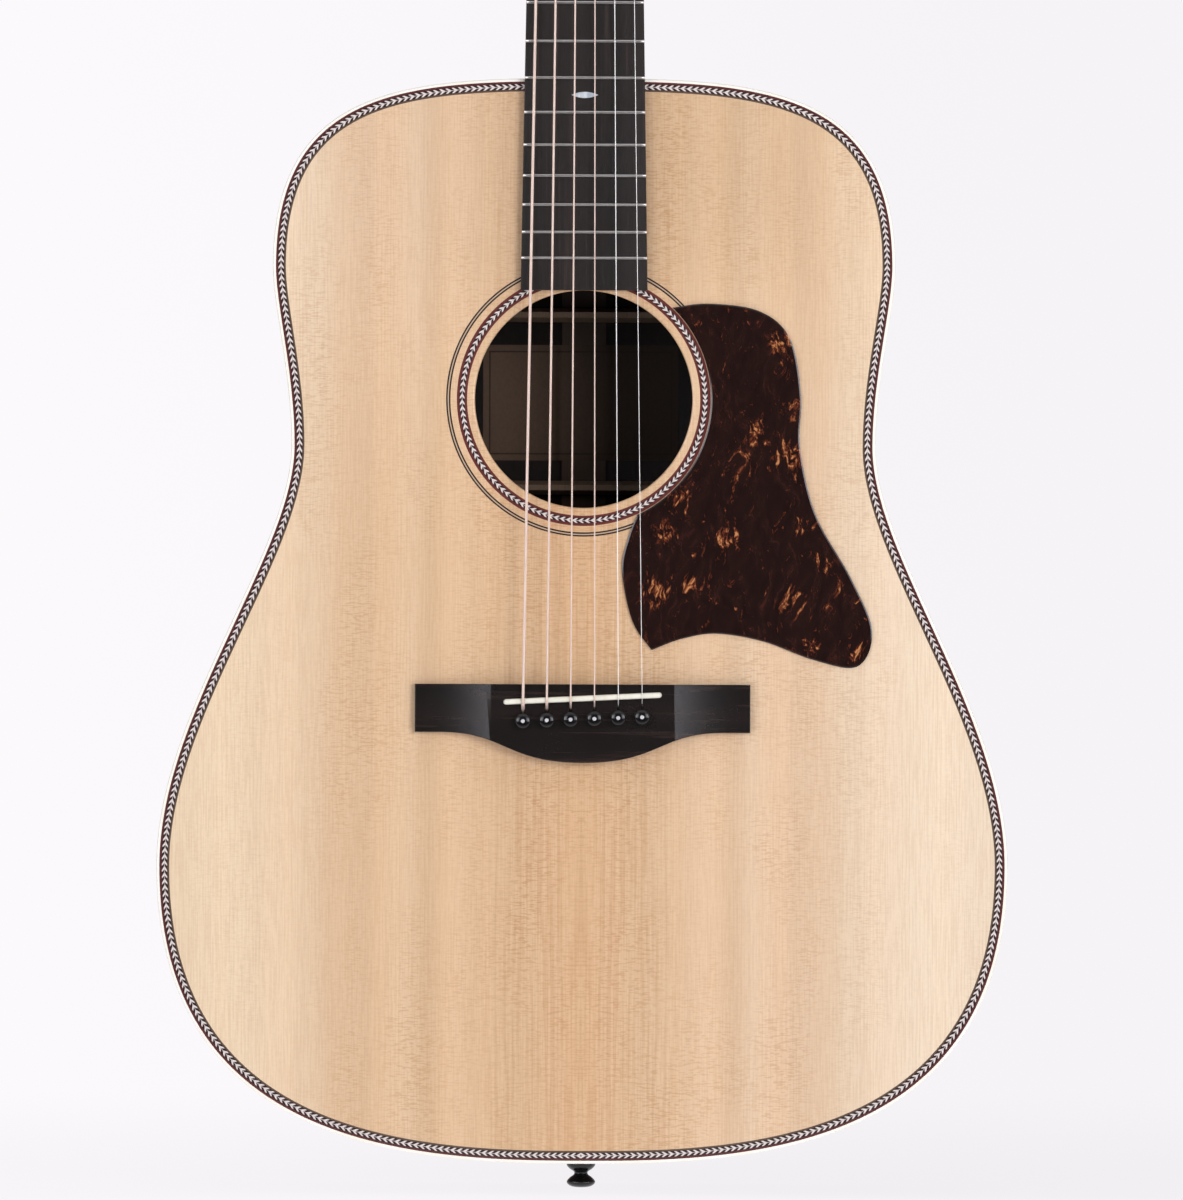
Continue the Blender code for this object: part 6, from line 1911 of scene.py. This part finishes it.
    def build_nut(self) -> None:
        """The bone nut with a slot for each string."""
        rows = []
        half = board_half_width(NUT_LEVEL) - 0.1 * MM
        for x in np.linspace(-half, half, 25):
            face = FRONT - 8.8 * MM + camber(x)
            low, high = NUT_LEVEL, NUT_LEVEL + 5 * MM
            ends = 1 - smoothstep((half - abs(x)) / (1.2 * MM))
            fall = 0.8 * MM * ends
            ring = [
                (x, FRONT - 0.1 * MM, low), (x, face + fall + 0.3 * MM, low), (x, face + fall, low + 0.3 * MM),
                (x, face + fall + 0.15 * MM, low + 2 * MM), (x, face + fall + 0.7 * MM, high - 0.8 * MM),
                (x, face + fall + 1.5 * MM, high), (x, FRONT - 0.1 * MM, high),
            ]
            rows.append(ring)
        nut = skin("nut_bone", np.array(rows), sharp=30)
        tools = []
        for number, diameter in enumerate(STRING_DIAMETERS, 1):
            x = string_x(number, NUT_SPREAD)
            r = diameter / 2 + 0.04 * MM
            y = FRONT - 7.9 * MM + camber(x) - diameter / 2
            turn = np.linspace(0, math.pi, 9)
            line = [(x + r, y - 4 * MM), *((x + r * math.cos(a), y + r * math.sin(a)) for a in turn), (x - r, y - 4 * MM)]
            sheet = [[(px, py, z) for px, py in line] for z in (NUT_LEVEL - 2 * MM, HEAD_START + 2 * MM)]
            tools.append(skin("string_tool", np.array(sheet)))
        carve(nut, joined("string_tools", tools))
        self.keep(smooth(nut, 30), Coat.BONE, ["nut"], "bone")


@dataclass
class Fretboard(Assembly):
    """Ebony board with its frets and position marks."""

    low: float = 0.4083
    fret_count: int = 20
    fret_half: float = 0.75 * MM
    fret_height: float = 1.1 * MM
    inlay_half: tuple[float, float] = (6.25 * MM, 1.45 * MM)
    # Frets that a mark lies below; two lie side by side at the octave
    marks: tuple = (3, 5, 7, 9, 12, 15)
    octave: int = 12

    def __post_init__(self) -> None:
        """Starts with no pieces."""
        super().__init__()

    def build(self) -> None:
        """Makes the meshes."""
        self.build_board()
        for fret in range(1, self.fret_count + 1):
            self.build_fret(fret)
        for fret in self.marks:
            self.build_marks(fret)

    def build_board(self) -> None:
        """The board itself, cambered across and a little rounded along its edges."""
        rows = []
        high = NUT_LEVEL - HAIRLINE
        edge = 0.35 * MM
        for level in (self.low, self.low + edge, *np.linspace(self.low, high, 12)[1:]):
            half = board_half_width(level)
            fall = edge if level == self.low else 0.0
            xs = np.linspace(half - edge, edge - half, 21)
            face = [(x, BOARD_FACE + camber(x) + fall, level) for x in xs]
            side = BOARD_FACE + camber(half) + edge + fall
            base = FRONT - 2 * HAIRLINE
            rows.append([(half, base, level), (half, side, level), *face, (-half, side, level), (-half, base, level)])
        board = skin("fretboard_plate", np.array(rows), sharp=30)
        self.keep(board, Coat.EBONY, ["fretboard"], "ebony")

    def build_fret(self, fret: int) -> None:
        """A fret's wire: a round crown over the board, with its ends filed slanting.

        Args:
            fret: Which fret, counted from the nut.
        """
        level = fret_level(fret)
        half = board_half_width(level)
        turn = np.linspace(0, math.pi, 9)
        rows = []
        for x in np.concatenate([[-half, 0.9 * MM - half], np.linspace(2 * MM - half, half - 2 * MM, 15), [half - 0.9 * MM, half]]):
            crown = self.fret_height * (0.35 + 0.65 * smoothstep((half - abs(x)) / (0.9 * MM)))
            foot = BOARD_FACE + camber(x) + 0.5 * MM
            arc = [
                (x, BOARD_FACE + camber(x) - crown * math.sin(a), level + self.fret_half * math.cos(a))
                for a in turn
            ]
            rows.append([(x, foot, level + self.fret_half), *arc, (x, foot, level - self.fret_half)])
        wire = skin(f"fret_{fret:02d}", np.array(rows), sharp=50)
        self.keep(wire, Coat.FRET, [], "steel")

    def build_marks(self, fret: int) -> None:
        """Pointed pearl inlays in the board's face, and dots along its bass edge.

        Args:
            fret: The fret that they lie below.
        """
        level = (fret_level(fret) + fret_level(fret - 1)) / 2
        double = fret == self.octave
        long, wide = self.inlay_half
        for index, middle in enumerate((-10.5 * MM, 10.5 * MM) if double else (0.0,)):
            rows = []
            for share in np.sin(np.linspace(-math.pi / 2, math.pi / 2, 25)):
                x = middle + long * share
                spread = max(wide * (1 - share**2), 0.01 * MM)
                face = BOARD_FACE + camber(x) - HAIRLINE
                rows.append(
                    [(x, face, level + spread), (x, face, level - spread), (x, face + 0.4 * MM, level - spread),
                     (x, face + 0.4 * MM, level + spread)]
                )
            inlay = skin(f"inlay_{fret:02d}_{index}", np.array(rows), sharp=30)
            self.keep(inlay, Coat.PEARL, [], "bone")
            spot = level + (index - 0.5) * 5 * MM if double else level
            edge = board_half_width(spot)
            at = Matrix.Translation((-edge, BOARD_FACE + 2.6 * MM, spot)) @ TO_SIDE
            dot = turned(f"side_dot_{fret:02d}_{index}", [(0, 0.6 * MM), (1 * MM, 0.6 * MM), (1 * MM, -HAIRLINE), (0, -HAIRLINE)], 24, at)
            self.keep(dot, Coat.DOT, [], "bone")


@dataclass
class Strings(Assembly):
    """Six strings from their ball ends over saddle and nut to their coils on the posts."""

    sides: int = 12
    end_wrap: float = 1.3

    def __post_init__(self) -> None:
        """Starts with no pieces."""
        super().__init__()

    def build(self) -> None:
        """Makes the meshes."""
        for number in range(1, 7):
            self.build_string(number)

    def build_string(self, number: int) -> None:
        """One string.

        Args:
            number: Which string, counted from the treble side.
        """
        diameter = STRING_DIAMETERS[number - 1]
        r = diameter / 2
        plain = number <= PLAIN_STRINGS
        x, level = pin_place(number)
        level += 4.6 * MM
        saddle = SADDLE_LEVEL + x * SADDLE_SLANT
        below = FRONT + 6.2 * MM
        crown = FRONT - 11.4 * MM + camber(x) - r
        ball = [(x, below + 3 * MM, level), (x, below, level)]
        tail = through(
            [
                (x, below - 0.15 * MM, level), (x, FRONT - 4 * MM, level), (x, FRONT - 6.8 * MM, level + 0.6 * MM),
                (x, crown + 0.832 * MM, saddle - 1.95 * MM), (x, crown + 0.10 * MM, saddle - 1.0 * MM),
                (x, crown, saddle - 0.2 * MM),
            ],
            5,
        )
        nut_x = string_x(number, NUT_SPREAD)
        nut_y = FRONT - 7.9 * MM + camber(nut_x) - r
        nut = [(nut_x, nut_y, NUT_LEVEL), (nut_x, nut_y, HEAD_START - 1 * MM)]
        coil = self.coil(number, r, 3.2 if plain else 2.2)
        path = np.vstack([ball, tail, nut, coil])
        radii = np.full(len(path), r)
        radii[:2] = 1.7 * MM
        if not plain:
            radii[2 : 2 + len(tail) - 8] = r * self.end_wrap
        sheet, uv = tube(path, radii, self.sides)
        wire = skin(f"string_{number}_wire", sheet, uv=uv, sharp=60)
        coat, slot = (Coat.WIRE, "plain_wire") if plain else (Coat.BRONZE, "bronze_wire")
        self.keep(wire, coat, [f"string_{number}"], slot)

    def coil(self, number: int, r: float, turns: float) -> np.ndarray:
        """The turns round the post, from its inner side downwards.

        Args:
            number: Which string.
            r: The string's radius.
            turns: How often it goes round.

        Returns:
            The points, one a row.
        """
        hand, post_x, place = tuner_place(number)
        wrap = POST_WAIST + r + 0.1 * MM
        top = WAIST_HEIGHT + turns * r
        angles = np.linspace(0, 2 * math.pi * turns, int(20 * turns))
        return np.array(
            [
                head_point(
                    post_x - hand * wrap * math.cos(a),
                    place + wrap * math.sin(a),
                    top - 2 * r * a / (2 * math.pi) * 1.02,
                )
                for a in angles
            ]
        )


@dataclass
class Tuners(Assembly):
    """Six enclosed tuning machines: one is modelled, moved up its side and mirrored to the other."""

    half_width: float = 8 * MM
    ends: tuple[float, float] = (-6.5 * MM, 14 * MM)
    depth: float = 10.5 * MM
    bevel: float = 1.5 * MM
    corner: float = 3 * MM
    worm: tuple[float, float] = (7.5 * MM, 5.68 * MM)
    collar: tuple[float, float] = (4.1 * MM, 10 * MM)
    ear: tuple[float, float, float] = (-8.35 * MM, 3.7 * MM, 2 * MM)
    shaft: float = 2.2 * MM
    button_start: float = 15 * MM
    button: tuple[float, float, float] = (13.5 * MM, 8.75 * MM, 3.75 * MM)
    post: float = 3 * MM
    post_low: float = -7.6 * MM
    post_high: float = 35.4 * MM
    head_face: float = 17.4 * MM
    waist: float = 24.4 * MM

    def __post_init__(self) -> None:
        """Starts with no pieces."""
        super().__init__()

    def build(self) -> None:
        """Makes the meshes, first about the post's foot: x outwards, y to the back, z up the headstock."""
        first = {
            "housing": self.housing(), "screw": self.screw(), "key": self.key(), "post": self.string_post(),
            "bushing": self.bushing(),
        }
        mirror = Matrix.Scale(-1, 4, (1, 0, 0))
        for number in range(1, 7):
            hand, post_x, place = tuner_place(number)
            seat = HEAD_PLANE @ Matrix.Translation((abs(post_x), HEAD_THICKNESS + 0.02 * MM, place))
            move = seat if hand > 0 else mirror @ seat
            for kind, model in first.items():
                piece = twin(model, f"tuner_{kind}_{number}_plated", move)
                moving = kind in ("key", "post")
                node = f"tuner_{kind}_{number}"
                nodes = [node] if kind in ("housing", "key", "post") else []
                self.keep(piece, Coat.NICKEL, nodes, "nickel", node + "_body" if moving else GUITAR)
        for model in first.values():
            bpy.data.objects.remove(model)

    def housing(self) -> Mesh:
        """The cast case, with a collar for the key's shaft and an ear for its screw."""
        low, high = self.ends
        half, c = self.half_width, self.corner
        turn = np.linspace(0, math.pi / 2, 7)
        corners = ((half - c, high - c, 0), (c - half, high - c, 1), (c - half, low + c, 2), (half - c, low + c, 3))
        line = [
            (x + c * math.cos(a + quarter * math.pi / 2), z + c * math.sin(a + quarter * math.pi / 2))
            for x, z, quarter in corners
            for a in turn
        ]
        case = plate("housing", np.array(line), 0, self.depth)
        soften(case, lambda a, b: min(a.y, b.y) > self.depth - HAIRLINE, self.bevel, 4)
        up, back = self.worm
        radius, reach = self.collar
        at = Matrix.Translation((0, back, up)) @ TO_SIDE
        profile = [(0, 0), (radius, 0), (radius, reach - 0.4 * MM), (radius - 0.4 * MM, reach), (0, reach)]
        carve(case, turned("collar", profile, 40, at), "UNION")
        z, ear, thick = self.ear
        lug = plate("lug", disc((0, z), ear, 40), 0, thick)
        soften(lug, lambda a, b: min(a.y, b.y) > thick - HAIRLINE, 0.4 * MM, 2)
        carve(case, lug, "UNION")
        bore = self.shaft + 0.3 * MM
        carve(case, turned("bore", [(0, -4.4 * MM), (bore, -4.4 * MM), (bore, 0.02), (0, 0.02)], 40, at))
        well = self.post + 0.3 * MM
        front = TO_FRONT
        carve(case, turned("well", [(0, -8 * MM), (well, -8 * MM), (well, 0.01), (0, 0.01)], 40, front))
        return smooth(case, 35)

    def screw(self) -> Mesh:
        """The screw through the ear, with a slotted dome."""
        z, _, thick = self.ear
        at = Matrix.Translation((0, thick, z)) @ Matrix.Rotation(-math.pi / 2, 4, "X")
        dome = [(0, 0), (2.3 * MM, 0), (2.3 * MM, 0.35 * MM), (1.7 * MM, 0.9 * MM), (0.9 * MM, 1.15 * MM), (0, 1.2 * MM)]
        head = turned("screw", dome, 32, at)
        notch = np.array([(-3, -0.3), (3, -0.3), (3, 0.3), (-3, 0.3)]) * MM + (0, z)
        carve(head, plate("notch", notch, thick + 0.65 * MM, thick + 3 * MM))
        return smooth(head, 35)

    def key(self) -> Mesh:
        """The key's shaft and its button, flattened and waisted where the fingers hold it."""
        up, back = self.worm
        length, wide, thick = self.button
        s = self.shaft
        stations = np.array(
            [(0, 0.38, 0.8), (0.12, 0.42, 0.85), (0.34, 0.9, 0.95), (0.6, 1, 1), (0.85, 0.85, 0.9), (1, 0.55, 0.6)]
        )
        fine = np.linspace(0, 1, 28)
        sizes = monotone(stations[:, 0], stations[:, 1:], fine)
        angles = 2 * np.pi * np.arange(32) / 32
        cos, sin = np.cos(angles), np.sin(angles)
        rows = [[(-4 * MM, back + s * b, up + s * a) for a, b in zip(cos, sin)]]
        rows.append([(self.button_start, back + s * b, up + s * a) for a, b in zip(cos, sin)])
        square = 2 / 2.6
        for along, (w, t) in zip(fine, sizes):
            ends = math.sqrt(max(1 - (max(along - 0.86, 0) / 0.14) ** 2 * 0.75, 0))
            x = self.button_start + 0.02 * MM + along * length
            ring_z = wide * w * ends * np.sign(cos) * np.abs(cos) ** square
            ring_y = thick * t * ends * np.sign(sin) * np.abs(sin) ** square
            rows.append([(x, back + b, up + a) for a, b in zip(ring_z, ring_y)])
        return skin("key", np.array(rows), sharp=40)

    def string_post(self) -> Mesh:
        """The post that the string winds on, waisted where it lies."""
        r, top = self.post, self.post_high
        profile = [(0, self.post_low), (r, self.post_low), (r, self.waist - 2.6 * MM)]
        profile += [(POST_WAIST, self.waist - 2.2 * MM), (POST_WAIST, self.waist + 2.2 * MM), (r, self.waist + 2.8 * MM)]
        profile += [(r, top - 1 * MM), (0.9 * r, top - 0.4 * MM), (0.7 * r, top), (0, top)]
        return turned("post", profile, 40, TO_FRONT)

    def bushing(self) -> Mesh:
        """The washer and collar round the post on the headstock's face."""
        face = self.head_face + 0.02 * MM
        inner, outer = self.post + 0.3 * MM, 5.6 * MM
        profile = [(inner, face), (outer, face), (outer, face + 0.5 * MM), (outer - 0.3 * MM, face + 0.8 * MM)]
        profile += [(4.4 * MM, face + 0.8 * MM), (4.3 * MM, face + 1.6 * MM), (4.0 * MM, face + 1.9 * MM)]
        return turned("bushing", [*profile, (inner, face + 1.9 * MM)], 48, TO_FRONT, ring=True)


@dataclass
class EndPin(Assembly):
    """The turned black pin that a strap hangs on."""

    radius: float = 6.7 * MM
    length: float = 14.2 * MM
    knob: tuple = (
        (0.98, 0.04), (1, 0.12), (1, 0.26), (0.78, 0.38), (0.5, 0.47), (0.5, 0.56), (0.78, 0.66), (1, 0.79),
        (0.92, 0.89), (0.6, 0.97), (0.0, 1),
    )

    def __post_init__(self) -> None:
        """Starts with no pieces."""
        super().__init__()

    def build(self) -> None:
        """Makes the meshes."""
        curve = through(self.knob, 6) * (self.radius, self.length)
        shank = [(0, -20 * MM), (4.6 * MM, -20 * MM), (5.2 * MM, 0.1 * MM), (0.95 * self.radius, 0.35 * MM)]
        pin = turned("end_pin_turned", [*shank, *curve], 48, TO_TAIL)
        self.keep(pin, Coat.BLACK, ["end_pin"], "black_plastic")


@dataclass
class Interior(Assembly):
    """What is seen through the sound hole, and the inner pieces that stay as the frame has them."""

    label: Paper = Coat.LABEL.value
    strip_half: float = 10.5 * MM
    strip_rise: float = 2.1 * MM
    paper: float = 0.2 * MM
    inner_coats: tuple = (
        (Coat.BRACE, ("x_brace", "transverse_brace", "tone_bar_upper", "tone_bar_lower")),
        (Coat.BACK_BRACE, tuple(f"back_brace_{n}" for n in range(1, 5))),
        (Coat.MAHOGANY, ("neck_block", "tail_block")),
        (Coat.MAPLE, ("bridge_plate",)),
        (Coat.CEDAR, ("back_strip",)),
        (Coat.STEEL, ("truss_rod",)),
    )

    def __post_init__(self) -> None:
        """Starts with no pieces."""
        super().__init__()

    def build(self) -> None:
        """Makes the bare label, which drapes over the strip along the back's joint."""
        card = self.label
        xs = np.linspace(card.left, card.right, 94)
        rows = []
        for z in np.linspace(card.low, card.high, 12):
            over = np.array([smoothstep((self.strip_half + 4 * MM - abs(x)) / (4 * MM)) for x in xs])
            face = back_at(2.7 * MM)(xs, z) - 0.3 * MM - self.strip_rise * over
            front = np.column_stack([xs, face, np.full(len(xs), z)])
            back = front[::-1] + (0, self.paper, 0)
            rows.append(np.vstack([front, back]))
        self.keep(skin("label_paper", np.array(rows), sharp=40), Coat.LABEL, [], "maple")

    def dress(self) -> None:
        """Dresses the label, then the frame's own inner pieces."""
        super().dress()
        for coat, names in self.inner_coats:
            for name in names:
                node = frame["nodes"][name]
                node.data.materials.clear()
                node.data.materials.append(coat.value.material())
                LOG.info("%s: dressed as the frame has it", name)


@dataclass
class Studio:
    """Pale floor and background, soft lamps and the camera."""

    # The picture's middle on the soundboard
    middle: tuple[float, float] = (0.0040, 0.2636)
    camera_distance: float = 5.4
    view_height: float = 0.561
    roll: float = -0.21
    background: tuple[float, float, float] = (246, 243, 247)
    background_left: tuple[float, float, float] = (252, 249, 252)
    # Slope of sight, from left to right, over which one turns into the other
    gradient: tuple[float, float] = (-0.055, 0.045)
    floor_level: float = -0.0147
    ambient: float = 0.27
    # Brightness of the white walls to both sides of the camera, as polished surfaces reflect them
    softbox: float = 4.2
    # How much brighter still the walls are far to the sides
    wall: float = 3.0

    def build(self) -> None:
        """Makes everything that isn't the guitar."""
        bpy.context.scene.view_settings.view_transform = "Standard"
        self.build_camera()
        self.build_world()
        self.build_floor()
        self.build_lamps()

    def build_camera(self) -> None:
        """A long lens, square to the soundboard."""
        lens = bpy.data.cameras.new("camera")
        lens.sensor_width = 36
        lens.lens = lens.sensor_width * self.camera_distance / self.view_height
        lens.clip_end = 100
        camera = bpy.data.objects.new("camera", lens)
        bpy.context.scene.collection.objects.link(camera)
        x, z = self.middle
        camera.location = (x, FRONT - self.camera_distance, z)
        camera.rotation_euler = (math.pi / 2, math.radians(self.roll), 0)
        bpy.context.scene.camera = camera

    def build_world(self) -> None:
        """A pale room for the eye and for reflections, darker behind the camera, and even light for the rest."""
        world = bpy.data.worlds.new("room")
        bpy.context.scene.world = world
        world.use_nodes = True
        world.node_tree.nodes.clear()
        g = Graph(world.node_tree)
        path = g.add("LightPath")
        mirrored = g.math("MAXIMUM", path.outputs["Is Glossy Ray"], path.outputs["Is Transmission Ray"])
        seen = g.math("MAXIMUM", path.outputs["Is Camera Ray"], mirrored)
        across, depth, up = g.parts(g.place("Generated"))
        pale = g.mix(g.fit(across, *self.gradient), srgb(*self.background_left), srgb(*self.background))
        aside = g.math("ABSOLUTE", across)
        level = g.fit(g.math("ABSOLUTE", up), 0.55, 0.25)
        beside = g.fit(aside, 0.26, 0.52, (0, self.softbox))
        over = g.fit(up, 0.3, 0.8, (0.03, 1.0))
        edge = g.fit(aside, 0.6, 0.9, (0, self.wall))
        walls = g.math("MULTIPLY", g.math("ADD", beside, edge), level)
        ahead = g.math("ADD", walls, over)
        bluish = g.math("MULTIPLY", ahead, 1.07)
        turned_away = g.fit(depth, -0.55, -0.25)
        behind = g.fit(up, -0.25, 0.6, (0.06, 0.6))
        sides = g.mix(turned_away, g.vector(ahead, ahead, bluish), g.vector(behind, behind, behind))
        colour = g.mix(mirrored, pale, sides)
        shown, light = g.add("Background"), g.add("Background")
        g.feed(shown.inputs["Color"], colour)
        g.feed(light.inputs["Color"], (1.0, 0.99, 1.0, 1.0))
        g.feed(light.inputs["Strength"], self.ambient)
        both = g.add("MixShader")
        g.feed(both.inputs[0], seen)
        g.feed(both.inputs[1], light.outputs[0])
        g.feed(both.inputs[2], shown.outputs[0])
        g.feed(g.add("OutputWorld").inputs["Surface"], both.outputs[0])

    def build_floor(self) -> None:
        """A wide floor that keeps the guitar's shadow and fades into the background."""
        deselect()
        bpy.ops.mesh.primitive_circle_add(vertices=96, radius=6, fill_type="NGON", location=(0, 0, self.floor_level))
        floor = christened("floor")
        bpy.ops.object.transform_apply(location=True)
        material = bpy.data.materials.new("floor_paint")
        material.use_nodes = True
        material.node_tree.nodes.clear()
        g = Graph(material.node_tree)
        x, y, _ = g.parts(g.place())
        away = g.math("SQRT", g.math("ADD", g.math("MULTIPLY", x, x), g.math("MULTIPLY", y, y)))
        fade_and_painted_light = g.fit(away, 0.15, 1.2, (0.93, 1))
        glow, paint, both = g.add("Emission"), g.add("BsdfDiffuse"), g.add("MixShader")
        mirrored = g.add("LightPath").outputs["Is Glossy Ray"]
        before = g.math("MULTIPLY", g.fit(y, -0.15, -0.6), mirrored)
        from_camera = g.math("MAXIMUM", g.math("SUBTRACT", y, FRONT - self.camera_distance), 1.0)
        across = g.math("DIVIDE", g.math("SUBTRACT", x, self.middle[0]), from_camera)
        pale = g.mix(g.fit(across, *self.gradient), srgb(*self.background_left), srgb(*self.background))
        g.feed(glow.inputs["Color"], g.mix(before, pale, srgb(40, 40, 42)))
        g.feed(paint.inputs["Color"], srgb(*self.background))
        g.feed(both.inputs[0], fade_and_painted_light)
        g.feed(both.inputs[1], paint.outputs[0])
        g.feed(both.inputs[2], glow.outputs[0])
        g.feed(g.add("OutputMaterial").inputs["Surface"], both.outputs[0])
        floor.data.materials.append(material)

    def build_lamps(self) -> None:
        """Two wide soft lamps in front, to the right and to the left, and one above."""
        lamps = (
            ("lamp_right", (1.05, -2.0, 0.55), 1.0, 22),
            ("lamp_left", (-1.4, -1.8, 0.6), 1.2, 7),
            ("lamp_above", (0.0, -0.9, 2.2), 1.4, 6),
        )
        for name, place, size, power in lamps:
            light = bpy.data.lights.new(name, "AREA")
            light.shape = "DISK"
            light.size = size
            light.energy = power
            lamp = bpy.data.objects.new(name, light)
            bpy.context.scene.collection.objects.link(lamp)
            lamp.location = place
            lamp.visible_glossy = False
            aim = Vector((0, FRONT, 0.26)) - Vector(place)
            lamp.rotation_euler = aim.to_track_quat("-Z", "Y").to_euler()


def main() -> None:
    """Builds and dresses the guitar, then the room round it."""
    logging.basicConfig(level=logging.INFO, format="%(name)s: %(message)s")
    assemblies = (
        Shell(), Interior(), Pickguard(), Bridge(), Neck(), Fretboard(), Strings(), Tuners(), EndPin(),
    )
    for assembly in assemblies:
        assembly.build()
        assembly.dress()
    Studio().build()


if __name__ == "__main__":
    main()
